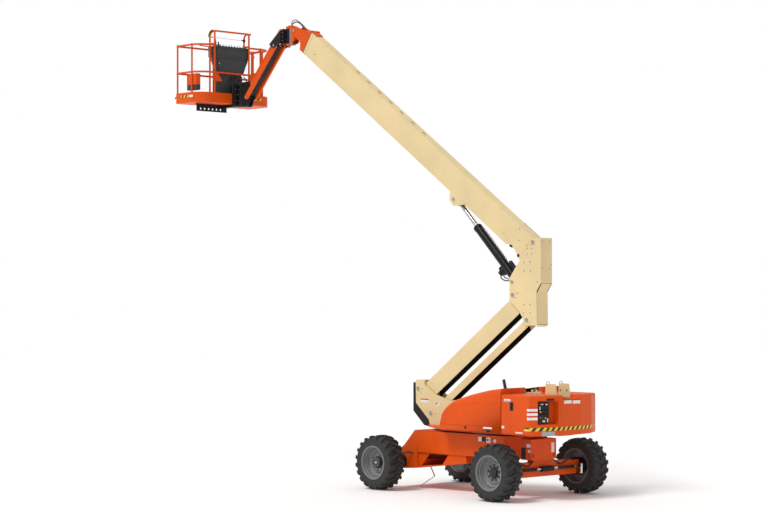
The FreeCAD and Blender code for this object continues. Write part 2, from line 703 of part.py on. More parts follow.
def ground_controls():
    """Control panel set into the recess at the weight's rear corner."""
    panel = block("control_panel", ("-1940", "-1900.3"), ("400", "640"), ("1255", "1595"))
    knobs = [
        rod(f"control_knob_{i}", "X", (f"{y}", f"{z}"), "11", "-1966", "-1939")
        for i,
        (y, z) in enumerate(((450, 1400), (520, 1400), (590, 1400), (485, 1470), (555, 1470), (520, 1540)))
    ]
    return node("ground_controls", fused("ground_controls_solid", [panel] + knobs))


def hood(side, sign):
    """Hinged engine or tank cover: an open shell with a rounded, sloping nose and its hinge leaf."""
    name = "hood_" + side
    wall = "hood_wall"
    inner_y, outer_y = "plate_outer_y + 30", "hood_width / 2"
    nose = [("0", "hood_bottom_z"), ("-36", "1140"), ("-150", "1400"), ("-420", "1570")]
    outline = [("hood_split_x", "hood_bottom_z")]
    outline += [(f"hood_front_x + 36 + {x}", z) for x, z in nose]
    outline += [("-470", "1665"), ("-900", "1755"), ("hood_split_x", "hood_top_z")]
    outside = padded(name + "_outside", "XZ", outline, *pair_y(sign, inner_y, outer_y))
    room = [(f"hood_split_x + {wall}", "hood_bottom_z - 1"),
            (f"hood_front_x + 36 - {wall}", "hood_bottom_z - 1")]
    room += [(f"hood_front_x + 36 + {x} - {wall}", f"{z} - {wall} / 3") for x, z in nose[1:]]
    room += [("-474", f"1665 - {wall}"), ("-900", f"1755 - {wall}"),
             (f"hood_split_x + {wall}", f"hood_top_z - {wall}")]
    inside = padded(name + "_inside", "XZ", room, *pair_y(sign, f"{inner_y} - 1", f"{outer_y} - {wall}"))
    shell = cut(name + "_shell", outside, [inside])
    hinge_y = mark_y(sign, "hood_hinge_y")
    pin = rod(name + "_hinge", "X", (hinge_y, "hood_hinge_z"), "10", "hood_hinge_x - 68", "hood_hinge_x + 68")
    leaf = block(name + "_leaf", ("hood_hinge_x - 20", "hood_hinge_x + 20"),
                 pair_y(sign, "hood_hinge_y - 6", "hood_hinge_y + 6"), ("hood_hinge_z", "hood_top_z - 12"))
    return node(name, fused(name + "_solid", [shell, pin, leaf]))


def machinery(name, sign, z_top):
    """Engine block or tank on a tray beneath a hood."""
    low, high = ("plate_outer_y + 70", "deck_width / 2 - 10")
    if sign < 0:
        low, high = f"-({high})", f"-({low})"
    return node(name,
                block(name, ("hood_hinge_x + 40", "machinery_front_x"), (low, high), ("deck_top_z", z_top)))


def rest_fin():
    """Rubber fin that stands on a bracket between the hoods."""
    seat = "1503.4 + (585 - ({})) * (channel_top_z - 1503) / (585 - hood_split_x)"
    fin = padded("fin", "XZ", [
        ("-760", seat.format(-760)), ("-700", seat.format(-700)), ("-640", "1900"), ("-690", "1912"),
    ], "plate_outer_y - 24", "plate_outer_y - 6")
    return node("rest_fin", fin)


# ---------------------------------------------------------------- folding tower

def link_body(name, top, bottom, half, wall):
    """One tower link in its own frame: pins at x = 0 and x = -length, z up, open along its underside."""
    length = "tower_link_length"
    outside = padded(name + "_outside", "XZ", [
        (f"-{length} - 46", "-38"), (f"-{length} + 30", bottom), ("-40", bottom), ("46", "-38"), ("50", "30"),
        ("34", "49"), ("-60", "52"), ("-150", top), (f"-{length} + 150", top), (f"-{length} + 60", "52"),
        (f"-{length} - 34", "49"), (f"-{length} - 50", "30"),
    ], f"-{half}", half)
    inside = padded(name + "_inside", "XZ", [
        (f"-{length} - 200", f"{bottom} - 1"), ("200", f"{bottom} - 1"), ("200", "-60"),
        ("-170", f"{top} - {wall}"), (f"-{length} + 170", f"{top} - {wall}"), (f"-{length} - 200", "-60"),
    ], f"-({half} - {wall})", f"{half} - {wall}")
    bores = [
        rod(f"{name}_bore_{i}", "Y", (x, "0"), "tower_pin_radius + 0.05", f"-{half} - 1", f"{half} + 1")
        for i, x in enumerate(("0", f"-{length}"))
    ]
    return cut(name + "_solid", outside, [inside] + bores)


def tower_links():
    """Upper and lower link of the tower's parallelogram."""
    upper = link_body("upper_link", "-upper_link_drop", "-(upper_link_drop + upper_link_depth)",
                      "link_half", "link_wall")
    foot = ("-foot_along", "-foot_drop")
    bosses = [rod("foot_boss", "Y", foot, "36",
                  *pair_y(mark, "tower_cylinder_radius + 6", "link_half - link_wall + 1")) for mark in (1,
                                                                                                        -1)]
    pin = rod("barrel_foot_pin", "Y", foot, "20", "-(link_half - link_wall + 1)", "link_half - link_wall + 1")
    upper = fused("upper_link_whole", [upper, pin] + bosses)
    node("tower_upper_link", place(upper, "tower_pin_x", "0", "tower_pin_z", "-tower_angle"))
    lower = link_body("lower_link", "42", "42 - lower_link_depth", "link_half", "link_wall")
    node("tower_lower_link", place(lower, "lower_pin_x", "0", "lower_pin_z", "-tower_angle"))


def tower_cylinder():
    """Lift cylinder inside the upper link: foot pinned in the link, rod eye by the bosses on the base plates."""
    place_at = ("tower_foot_x", "0", "tower_foot_z", "tower_cylinder_pitch")
    length = "tower_cylinder_length"
    barrel = fused("tower_barrel_outside", [
        rod("tower_barrel_tube", "X", ("0", "0"), "tower_cylinder_radius", "30", f"{length} * 0.86"),
        rod("tower_barrel_foot", "Y", ("0", "0"), "44", "-40", "40"),
    ])
    bore = rod("tower_barrel_bore", "X", ("0", "0"), "tower_rod_radius + 0.3", "90", f"{length} * 0.86 + 1")
    pin_bore = rod("tower_barrel_pin_bore", "Y", ("0", "0"), "20.05", "-41", "41")
    node("tower_cylinder_barrel", place(cut("tower_barrel", barrel, [bore, pin_bore]), *place_at))
    bar = rod("tower_rod_bar", "X", ("0", "0"), "tower_rod_radius", f"{length} * 0.5", f"{length} - 10")
    eye = rod("tower_rod_eye", "Y", (length, "0"), "40", "-30", "30")
    pin = rod("tower_rod_pin", "Y", (length, "0"), "20", "-31", "31")
    node("tower_cylinder_rod", place(fused("tower_rod", [bar, eye, pin]), *place_at))


def upright():
    """Box at the top of the tower: side plates over both links, the boom and the lift cylinder's foot."""
    outline = [
        ("-1518", "4237"), ("-1518", "3498"), ("-1418", "3366"), ("-1430", "2808"), ("-1145", "2808"),
        ("-1105", "2940"), ("-1035", "3030"), ("-812", "3215"), ("-812", "3584"), ("-928", "3735"),
        ("-1020", "3844"),
        ("boom_pivot_x + 80", "4150"), ("boom_pivot_x + 30", "4237"),
    ]
    plates = [
        padded("upright_left", "XZ", outline, "upright_inner", "upright_half"),
        padded("upright_right", "XZ", outline, "-upright_half", "-upright_inner"),
    ]
    wall_y = ("-(upright_inner + 1)", "upright_inner + 1")
    walls = [
        block("upright_rear_high", ("-1518", "-1504"), wall_y, ("3498", "4237")),
        block("upright_rear_low", ("-1430", "-1412"), wall_y, ("2820", "3360")),
        padded("upright_step", "XZ",
               [("-1518", "3510"), ("-1518", "3490"), ("-1425", "3350"), ("-1404", "3350")],
               *wall_y),
    ]
    stub = "upright_half + 8"
    pins = []
    for name, centre, radius in (
        ("upper_tower_pin", ("upright_pin_x", "upright_pin_z"), "tower_pin_radius"),
        ("lower_tower_pin", ("upright_low_x", "upright_low_z"), "tower_pin_radius"),
        ("boom_pin", ("boom_pivot_x", "boom_pivot_z"), "boom_pin_radius"),
        ("foot_pin", ("cylinder_foot_x", "cylinder_foot_z"), "cylinder_pin_radius"),
    ):
        pins.append(rod(name, "Y", centre, radius, f"-({stub})", stub))
    return node("upright", fused("upright_solid", plates + walls + pins))


# ---------------------------------------------------------------- main boom

BOOM_AT = ("boom_pivot_x", "0", "boom_pivot_z", "boom_angle")


def main_boom():
    """Box boom in its own frame: pivot at the origin, x along the boom, with the lift lug under it."""
    outside = padded("boom_outside", "XZ", [
        ("-62", "-30"), ("-40", "boom_rise"), ("boom_length", "boom_rise"), ("boom_length", "-boom_under"),
        ("520", "-boom_under"), ("408", "-(boom_under - 58)"), ("288", "-(boom_under - 28)"),
        ("124", "-(boom_under + 44)"), ("81", "-(boom_under + 64)"), ("30", "-(boom_under - 20)"),
        ("-62", "-60"),
    ], "-boom_half", "boom_half")
    inner = "boom_half - boom_wall"
    room = block("boom_room", ("90", "boom_length + 1"), (f"-({inner})", inner),
                 ("-(boom_under - boom_wall)", "boom_rise - boom_wall"))
    slot = block("lift_slot", ("1180", "rod_pin_along + 75"), ("-lug_gap / 2", "lug_gap / 2"),
                 ("-(boom_under + 1)", "-(boom_under - boom_wall - 1)"))
    lug = [
        ("rod_pin_along - 310", "-(boom_under - 45)"), ("rod_pin_along - 196", "-(rod_pin_drop - 7)"),
        ("rod_pin_along - 57", "-(rod_pin_drop + 95)"), ("rod_pin_along + 82", "-(rod_pin_drop + 61)"),
        ("rod_pin_along + 164", "-(boom_under - 45)"),
    ]
    lugs = [
        padded("lug_left", "XZ", lug, "lug_gap / 2", "lug_gap / 2 + 18"),
        padded("lug_right", "XZ", lug, "-(lug_gap / 2 + 18)", "-lug_gap / 2"),
    ]
    bore = rod("boom_bore", "Y", ("0", "0"), "boom_pin_radius + 0.05", "-200", "200")
    collars = [
        rod("boom_collar_left", "Y", ("0", "0"), "60", "boom_half - 1", "upright_inner - 1"),
        rod("boom_collar_right", "Y", ("0", "0"), "60", "-(upright_inner - 1)", "-(boom_half - 1)"),
    ]
    solid = fused("boom_solid", [cut("boom_tube", outside, [room, slot])] + lugs + collars)
    return node("main_boom", place(cut("boom_bored", solid, [bore]), *BOOM_AT))


def fly_boom():
    """Inner boom that telescopes out of the main boom, above the lift cylinder's slot."""
    outside = block("fly_outside", ("320", "boom_length + 4"), ("-fly_half", "fly_half"),
                    ("fly_low", "fly_high"))
    inside = block("fly_inside", ("319", "boom_length + 5"), ("-(fly_half - 7)", "fly_half - 7"),
                   ("fly_low + 7", "fly_high - 7"))
    pads = []
    for x in ("360", "boom_length - 260"):
        for mark, z in (("low", ("-(boom_under - boom_wall - 0.4)", "fly_low")),
                        ("high", ("fly_high", "boom_rise - boom_wall - 0.4"))):
            if mark == "low" and x == "360":
                continue
            pads.append(block("wear_pad", (x, f"{x} + 200"), ("-50", "50"), z))
    return node("fly_boom", place(fused("fly_solid", [cut("fly_tube", outside, [inside])] + pads), *BOOM_AT))


def fly_head():
    """Orange head on the fly: end plate, and two side plates that hold the levelling bracket."""
    collar = block("head_collar", ("boom_length + 4", "boom_length + 40"), ("-104", "104"),
                   ("-boom_under + 6", "boom_rise + 28"))
    cap = block("head_cap", ("boom_length - 130", "boom_length + 40"), ("-78", "78"),
                ("boom_rise + 6", "boom_rise + 20"))
    outline = [
        ("boom_length + 20", "-boom_under + 6"), ("boom_length + 112", "-boom_under + 8"),
        ("boom_length + 165", "-270"), ("level_along + 30", "level_rise - 62"),
        ("level_along + 58", "level_rise - 16"),
        ("level_along + 40", "level_rise + 58"), ("level_along + 12", "level_rise + 90"),
        ("boom_length + 277", "-46"), ("boom_length + 118", "31"), ("boom_length + 20", "boom_rise + 28"),
    ]
    plates = [
        padded("head_left", "XZ", outline, "88", "104"),
        padded("head_right", "XZ", outline, "-104", "-88"),
    ]
    pin = rod("level_pin", "Y", ("level_along", "level_rise"), "22", "-112", "112")
    return node("fly_head", place(fused("fly_head_solid", [collar, cap, pin] + plates), *BOOM_AT))


def main_cylinder():
    """Lift cylinder in its own frame: foot pin at the origin, x toward the rod's eye at lift_length."""
    at = ("cylinder_foot_x", "0", "cylinder_foot_z", "lift_angle")
    barrel = fused("lift_barrel_outside", [
        rod("lift_tube", "X", ("0", "0"), "cylinder_radius", "60", "barrel_length"),
        rod("lift_foot", "Y", ("0", "0"), "52", "-96", "96"),
        block("lift_neck", ("0", "70"), ("-50", "50"), ("-46", "46")),
        block("port_block", ("290", "430"), ("-42", "42"),
              ("-(cylinder_radius + 58)", "-(cylinder_radius - 10)")),
    ])
    bores = [
        rod("lift_bore", "X", ("0", "0"), "rod_radius + 0.3", "110", "barrel_length + 1"),
        rod("lift_foot_bore", "Y", ("0", "0"), "cylinder_pin_radius + 0.05", "-97", "97"),
    ]
    node("main_cylinder_barrel", place(cut("lift_barrel", barrel, bores), *at))
    bar = rod("lift_bar", "X", ("0", "0"), "rod_radius", "lift_length - 1350", "lift_length - 20")
    eye = rod("lift_eye", "Y", ("lift_length", "0"), "50", "-48", "48")
    pin = rod("lift_eye_pin", "Y", ("lift_length", "0"), "cylinder_pin_radius", "-(lug_gap / 2 - 6)",
              "lug_gap / 2 - 6")
    node("main_cylinder_rod", place(fused("lift_rod", [bar, eye, pin]), *at))


HOSE_ROUTES = {
    "near": (1, 11, [
        (151, 121), (114, 154.3), (56, 170), (-14, 164), (-86, 132), (-146, 86), (-187, 30), (-208, -30),
        (-208, -80),
    ]),
    "far": (-1, 8, [
        (228, 130), (228, 170), (198, 208), (142, 224), (76, 213), (0, 171), (-78, 119), (-152, 63),
        (-210, 8),
        (-246, -42), (-246, -80),
    ]),
}


def hoses():
    """Two hoses that arch over the levelling pin between the bracket's glands; points are from that pin."""
    pin_x, pin_z, side = number("level_pin_x"), number("level_pin_z"), number("hose_y")
    for name, (mark, radius, route) in HOSE_ROUTES.items():
        points = [FreeCAD.Vector(pin_x + x, mark * side, pin_z + z) for x, z in route]
        tube, bends = hose(f"hose_{name}", points, radius)
        volume = math.pi * radius ** 2 * bends.pop()
        print(f"hose_{name}", "radii", [round(bend) for bend in bends], "volume",
              round(tube.Shape.Volume / volume, 4))
        node(f"hose_{name}", tube)


def hose(name, points, radius):
    """Round tube along straight runs with large tangent arcs; also each arc's radius, then the whole length."""
    edges, bends = [], []
    start = points[0]
    for before, corner, after in zip(points, points[1:], points[2:]):
        back = before - corner
        ahead = after - corner
        reach = 0.45 * min(back.Length, ahead.Length)
        back.normalize()
        ahead.normalize()
        half = back.getAngle(ahead) / 2
        bend = reach * math.tan(half)
        first, last = corner + back * reach, corner + ahead * reach
        middle_way = (back + ahead).normalize()
        middle = corner + middle_way * (bend / math.sin(half) - bend)
        edges.append(Part.LineSegment(start, first).toShape())
        edges.append(Part.Arc(first, middle, last).toShape())
        bends.append(bend)
        start = last
    edges.append(Part.LineSegment(start, points[-1]).toShape())
    path = Part.Wire(edges)
    ring = Part.Wire([Part.Circle(points[0], points[1] - points[0], radius).toShape()])
    tube = DOC.addObject("Part::Feature", name)
    tube.Shape = path.makePipeShell([ring], True, False)
    return tube, bends + [path.Length]


# ---------------------------------------------------------------- jib

def level_bracket():
    """Bracket that the head's pin carries level; its two ears hold the jib's vertical swing pin."""
    tongue = padded("bracket_tongue", "XZ", [
        ("level_pin_x - 48", "level_pin_z - 40"), ("level_pin_x - 48", "level_pin_z + 40"),
        ("level_pin_x + 40", "level_pin_z + 62"), ("level_pin_x + 120", "level_pin_z + 76"),
        ("level_pin_x + 120", "level_pin_z - 215"), ("level_pin_x + 72", "level_pin_z - 200"),
    ], "-80", "80")
    neck = block("bracket_neck", ("level_pin_x + 119", "jib_swing_x - 60"), ("-46", "46"),
                 ("level_pin_z - 250", "level_pin_z + 108"))
    ears = [
        block("bracket_ear", ("jib_swing_x - 61", "jib_swing_x + 42"), ("-46", "46"), z)
        for z in (("level_pin_z - 250", "level_pin_z - 216"), ("level_pin_z + 64", "level_pin_z + 108"))
    ]
    pin = rod("swing_pin", "Z", ("jib_swing_x", "0"), "22", "level_pin_z - 262", "level_pin_z + 118")
    carrier = padded("hose_carrier", "XZ", [
        ("level_pin_x - 47", "level_pin_z - 40"), ("level_pin_x - 20", "level_pin_z - 30"),
        ("level_pin_x - 47", "level_pin_z - 5"), ("level_pin_x - 160", "level_pin_z - 100"),
        ("level_pin_x - 270", "level_pin_z - 100"), ("level_pin_x - 270", "level_pin_z - 125"),
        ("level_pin_x - 150", "level_pin_z - 125"),
    ], "-45", "45")
    glands = [
        padded("near_gland", "XZ", [
            ("level_pin_x + 160", "level_pin_z + 131"), ("level_pin_x + 142", "level_pin_z + 111"),
            ("level_pin_x + 176", "level_pin_z + 79"), ("level_pin_x + 195", "level_pin_z + 100"),
        ], "hose_y - 14", "hose_y + 14"),
        rod("far_gland", "Z", ("level_pin_x + 228", "-hose_y"), "12", "level_pin_z + 107",
            "level_pin_z + 130"),
        rod("near_end_gland", "Z", ("level_pin_x - 208", "hose_y"), "15", "level_pin_z - 101",
            "level_pin_z - 80"),
        rod("far_end_gland", "Z", ("level_pin_x - 246", "-hose_y"), "12", "level_pin_z - 101",
            "level_pin_z - 80"),
    ]
    solid = fused("bracket_solid", [tongue, neck, pin, carrier] + ears + glands)
    bore = rod("bracket_bore", "Y", ("level_pin_x", "level_pin_z"), "22.05", "-81", "81")
    return node("level_bracket", cut("bracket_bored", solid, [bore]))


def jib_rotator():
    """Block that turns on the swing pin and carries both jib links and the jib cylinder's rod."""
    low, high = "level_pin_z - 210", "level_pin_z + 58"
    sleeve = rod("rotator_sleeve", "Z", ("jib_swing_x", "0"), "44", low, high)
    mass = block("rotator_block", ("jib_swing_x + 52", "jib_upper_pin_x - 60"), ("-100", "100"), (low, high))
    arm = block("rotator_arm", ("jib_swing_x", "jib_swing_x + 60"), ("-40", "40"), (low, high))
    ear = [
        ("jib_upper_pin_x - 62", "jib_upper_pin_z - 228"), ("jib_upper_pin_x - 62", "level_pin_z + 56"),
        ("jib_upper_pin_x - 10", "jib_upper_pin_z + 42"), ("jib_upper_pin_x + 30", "jib_upper_pin_z + 32"),
        ("jib_upper_pin_x + 46", "jib_upper_pin_z - 10"), ("jib_upper_pin_x + 46", "jib_upper_pin_z - 180"),
        ("jib_upper_pin_x + 20", "jib_upper_pin_z - 210"),
    ]
    cheek = [
        ("jib_upper_pin_x - 84", "level_pin_z - 205"), ("jib_upper_pin_x - 84", "level_pin_z + 30"),
        ("jib_upper_pin_x + 30", "jib_upper_pin_z - 70"), ("jib_lower_pin_x + 130", "jib_lower_pin_z + 30"),
        ("jib_lower_pin_x + 60", "jib_lower_pin_z - 30"), ("jib_lower_pin_x", "jib_lower_pin_z - 44"),
    ]
    plates = [
        padded("ear_left", "XZ", ear, "38", "54"), padded("ear_right", "XZ", ear, "-54", "-38"),
        padded("cheek_left", "XZ", cheek, "bar_outer + 6", "bar_outer + 18"),
        padded("cheek_right", "XZ", cheek, "-(bar_outer + 18)", "-(bar_outer + 6)"),
    ]
    flange = block("cheek_flange", ("jib_upper_pin_x - 84", "jib_upper_pin_x - 60"),
                   ("-(bar_outer + 18)", "bar_outer + 18"), (low, "level_pin_z + 20"))
    upper_pin = rod("jib_top_pin", "Y", ("jib_upper_pin_x", "jib_upper_pin_z"), "jib_pin_radius", "-84", "84")
    stubs = [
        rod("jib_low_stub", "Y", ("jib_lower_pin_x", "jib_lower_pin_z"), "jib_pin_radius", low_y, high_y)
        for low_y, high_y in (("bar_inner - 4", "bar_outer + 20"), ("-(bar_outer + 20)", "-(bar_inner - 4)"))
    ]
    solid = fused("rotator_solid", [sleeve, mass, arm, flange, upper_pin] + plates + stubs)
    bore = rod("rotator_bore", "Z", ("jib_swing_x", "0"), "22.05", f"{low} - 1", f"{high} + 1")
    return node("jib_rotator", cut("rotator_bored", solid, [bore]))


def jib_links():
    """Upper channel and the pair of lower bars of the jib's parallelogram, in their own frame."""
    pad = "45"
    side = [
        ("-36", "-30"), ("0", "-45"), ("jib_length", "-45"), ("jib_length + 36", "-30"),
        ("jib_length + 45", "0"),
        ("jib_length + 30", "34"), ("jib_length", "41"), ("0", "41"), ("-30", "34"), ("-45", "0"),
    ]
    sides = [
        padded("jib_side_left", "XZ", side, "60", "78"),
        padded("jib_side_right", "XZ", side, "-78", "-60"),
    ]
    top = block("jib_top_plate", ("120", "jib_length - 120"), ("-61", "61"), ("31", "41"))
    lug = block("jib_foot_lug", ("jib_length - 190", "jib_length - 130"), ("-30", "30"), ("-40", "32"))
    bores = [rod("jib_bore", "Y", (x, "0"), "jib_pin_radius + 0.05", "-79", "79") for x in ("0",
                                                                                            "jib_length")]
    upper = cut("jib_upper", fused("jib_upper_solid", sides + [top, lug]), bores)
    node("jib_upper_link", place(upper, "jib_upper_pin_x", "0", "jib_upper_pin_z", "jib_angle"))
    half = "jib_bar_depth / 2"
    outline = [
        (f"-{half} + 12", f"-{half} + 12"), ("0", f"-{half}"), ("jib_length", f"-{half}"),
        (f"jib_length + {half} - 12", f"-{half} + 12"), (f"jib_length + {half}", "0"),
        (f"jib_length + {half} - 12", f"{half} - 12"), ("jib_length", half), ("0", half),
        (f"-{half} + 12", f"{half} - 12"), (f"-{half}", "0"),
    ]
    bars = [
        padded("jib_bar_left", "XZ", outline, "bar_inner", "bar_outer"),
        padded("jib_bar_right", "XZ", outline, "-bar_outer", "-bar_inner"),
    ]
    bores = [rod("jib_bar_bore", "Y", (x, "0"), "jib_pin_radius + 0.05", "-200", "200") for x in ("0",
                                                                                                  "jib_length")]
    lower = cut("jib_lower", fused("jib_bars", bars), bores)
    node("jib_lower_link", place(lower, "jib_lower_pin_x", "0", "jib_lower_pin_z", "jib_angle"))


def jib_cylinder():
    """Jib cylinder under the upper channel: the barrel hangs from its lug, the rod's eye sits in the rotator."""
    at = ("jib_upper_pin_x", "0", "jib_upper_pin_z", "jib_angle")
    barrel = fused("jib_barrel_outside", [
        rod("jib_tube", "X", ("0", "-76"), "32", "250", "jib_length - 110"),
        rod("jib_barrel_foot", "Y", ("jib_length - 160", "-76"), "35.7", "-30", "30"),
    ])
    bore = rod("jib_tube_bore", "X", ("0", "-76"), "18.3", "249", "jib_length - 240")
    node("jib_cylinder_barrel", place(cut("jib_barrel", barrel, [bore]), *at))
    bar = rod("jib_bar_rod", "X", ("0", "-76"), "18", "130", "jib_length - 500")
    eye = rod("jib_rod_eye", "Y", ("120", "-76"), "30", "-32", "32")
    node("jib_cylinder_rod", place(fused("jib_rod", [bar, eye]), *at))


def jib_end_bracket():
    """Black bracket that both jib links keep upright, with the platform's rotary actuator on its front."""
    ear = [
        ("end_x - 40", "end_z - 20"), ("end_x - 40", "end_z + 25"), ("end_x - 10", "end_z + 44"),
        ("end_x + 225", "end_z + 44"), ("end_x + 225", "end_z - 433"), ("end_x + 140", "end_z - 433"),
        ("low_end_x - 40", "low_end_z - 30"), ("low_end_x - 44", "low_end_z + 30"),
    ]
    plates = [padded("end_ear_left", "XZ", ear, "38", "54"), padded("end_ear_right", "XZ", ear, "-54", "-38")]
    mass = block("end_block", ("end_x + 216", "platform_pivot_x - 65"), ("-60", "60"),
                 ("end_z - 433", "end_z + 40"))
    neck = block("end_neck", ("platform_pivot_x - 66", "platform_pivot_x"), ("-50", "50"),
                 ("platform_pivot_low + 6", "platform_pivot_high - 6"))
    housing = rod("actuator", "Z", ("platform_pivot_x", "0"), "60", "platform_pivot_low + 6",
                  "platform_pivot_high - 6")
    pins = [
        rod("end_top_pin", "Y", ("end_x", "end_z"), "jib_pin_radius", "-84", "84"),
        rod("end_low_pin", "Y", ("low_end_x", "low_end_z"), "jib_pin_radius", "-(bar_outer + 8)",
            "bar_outer + 8"),
    ]
    solid = fused("end_bracket_solid", plates + [mass, neck, housing] + pins)
    bore = rod("actuator_bore", "Z", ("platform_pivot_x", "0"), "24.05", "platform_pivot_low",
               "platform_pivot_high")
    return node("jib_end_bracket", cut("end_bracket_bored", solid, [bore]))


# ---------------------------------------------------------------- platform

def platform_support():
    """Arm from the rotary actuator to the platform's rear edge and a drilled cross bar under its floor."""
    low, high = "platform_pivot_low", "platform_pivot_high"
    pin = rod("support_pin", "Z", ("platform_pivot_x", "0"), "24", f"{low} - 24", f"{high} + 24")
    caps = [
        rod("support_low_cap", "Z", ("platform_pivot_x", "0"), "58", f"{low} - 24", low),
        rod("support_high_cap", "Z", ("platform_pivot_x", "0"), "58", high, f"{high} + 24"),
        block("support_low_arm", ("platform_pivot_x", "platform_rear_x - 40"), ("-58", "58"),
              (f"{low} - 24", low)),
        block("support_high_arm", ("platform_pivot_x", "platform_rear_x - 40"), ("-58", "58"),
              (high, f"{high} + 24")),
    ]
    post = block("support_post", ("platform_rear_x - 76", "platform_rear_x - 0.4"), ("-120", "120"),
                 (f"{low} - 24", f"{high} + 24"))
    floor_arm = block("support_floor_arm", ("platform_rear_x - 76", "platform_rear_x + 450"), ("-60", "60"),
                      ("platform_floor_z - 76", "platform_floor_z - 20.4"))
    bar = [
        block("support_bar_web", ("platform_rear_x + 395", "platform_rear_x + 395 + drilled_web"),
              ("-60", "670"),
              ("platform_floor_z - 160", "platform_floor_z - 30")),
        block("support_bar_flange", ("platform_rear_x + 360", "platform_rear_x + 440"), ("-60", "670"),
              ("platform_floor_z - 32", "platform_floor_z - 20.4")),
    ]
    holes = [
        rod("support_bar_hole", "X", (f"{y}", "platform_floor_z - 112"), "19",
            "platform_rear_x + 359", "platform_rear_x + 441")
        for y in range(90, 640, 96)
    ]
    return node("platform_support",
                cut("support_solid", fused("support_pieces", [pin, post, floor_arm] + bar + caps),
                                        holes))


def platform_plan(inset):
    """Plan of the platform, set in by a distance: round corners at the back, small ones in front."""
    left, right = f"half_platform - ({inset})", f"-(half_platform - ({inset}))"
    back, front = f"platform_rear_x + ({inset})", f"platform_front_x - ({inset})"
    return [
        (back, right, f"platform_corner - ({inset})"), (front, right, f"60 - ({inset}) * 0.5"),
        (front, left, f"60 - ({inset}) * 0.5"), (back, left, f"platform_corner - ({inset})"),
    ]


def platform_deck():
    """Floor plate with its toe board all the way round."""
    outside = padded("deck_outside", "XY", platform_plan("0"), "platform_floor_z - 20", "toe_top_z")
    inside = padded("deck_inside", "XY", platform_plan("5"), "platform_floor_z", "toe_top_z + 1")
    return node("platform_deck", cut("platform_tray", outside, [inside]))


def ring_rail(name, height, points):
    """Rail tube along part of the platform's rim at one height; its path starts along X or Y."""
    body = DOC.addObject("PartDesign::Body", name)
    spine = sketch_on(body, name + "_path", "XY", height)
    draw_path(spine, points)
    x, y = points[0]
    along_x = points[1][1] == y
    plane, offset, centre = ("YZ", x, (y, height)) if along_x else ("XZ", y, (x, height))
    section = sketch_on(body, name + "_section", plane, offset)
    section.addGeometry(Part.Circle(FreeCAD.Vector(number(centre[0]), number(centre[1]), 0),
                                    FreeCAD.Vector(0, 0, 1), number("rail_radius")), False)
    pin_point(section, 0, 3, centre)
    index = section.addConstraint(Sketcher.Constraint("Radius", 0, number("rail_radius")))
    section.setExpression(f"Constraints[{index}]", full("rail_radius"))
    DOC.recompute()
    pipe_feature = body.newObject("PartDesign::AdditivePipe", name + "_tube")
    pipe_feature.Profile = section
    pipe_feature.Spine = spine
    return body


def draw_path(sketch, points):
    """An open path: straight runs between points (x, y), with a tangent arc at each (x, y, radius)."""
    flat = [FreeCAD.Vector(number(point[0]), number(point[1]), 0) for point in points]
    first, middles, last = points[0], points[1:-1], points[-1]
    start, made = flat[0], []
    for i, point in enumerate(middles, start=1):
        radius = number(point[2])
        back = (flat[i - 1] - flat[i]).normalize()
        ahead = (flat[i + 1] - flat[i]).normalize()
        half = back.getAngle(ahead) / 2
        reach = radius / math.tan(half)
        into, out = flat[i] + back * reach, flat[i] + ahead * reach
        centre = flat[i] + (back + ahead).normalize() * (radius / math.sin(half))
        left_turn = back.cross(ahead).z < 0
        spoke = (into if left_turn else out) - centre
        begin = math.atan2(spoke.y, spoke.x)
        circle = Part.Circle(centre, FreeCAD.Vector(0, 0, 1), radius)
        line = sketch.addGeometry(Part.LineSegment(start, into), False)
        arc = sketch.addGeometry(Part.ArcOfCircle(circle, begin, begin + math.pi - 2 * half), False)
        corner = sketch.addGeometry(Part.Point(flat[i]), True)
        made.append((line, arc, corner, left_turn, point))
        start = out
    closing = sketch.addGeometry(Part.LineSegment(start, flat[-1]), False)
    lines = [item[0] for item in made] + [closing]
    for i, (line, arc, corner, left_turn, point) in enumerate(made):
        into_end, out_end = (1, 2) if left_turn else (2, 1)
        sketch.addConstraint(Sketcher.Constraint("Tangent", line, 2, arc, into_end))
        sketch.addConstraint(Sketcher.Constraint("Tangent", lines[i + 1], 1, arc, out_end))
        sketch.addConstraint(Sketcher.Constraint("PointOnObject", corner, 1, line))
        sketch.addConstraint(Sketcher.Constraint("PointOnObject", corner, 1, lines[i + 1]))
        pin_point(sketch, corner, 1, point)
        index = sketch.addConstraint(Sketcher.Constraint("Radius", arc, number(point[2])))
        sketch.setExpression(f"Constraints[{index}]", full(point[2]))
    pin_point(sketch, lines[0], 1, first)
    pin_point(sketch, closing, 2, last)


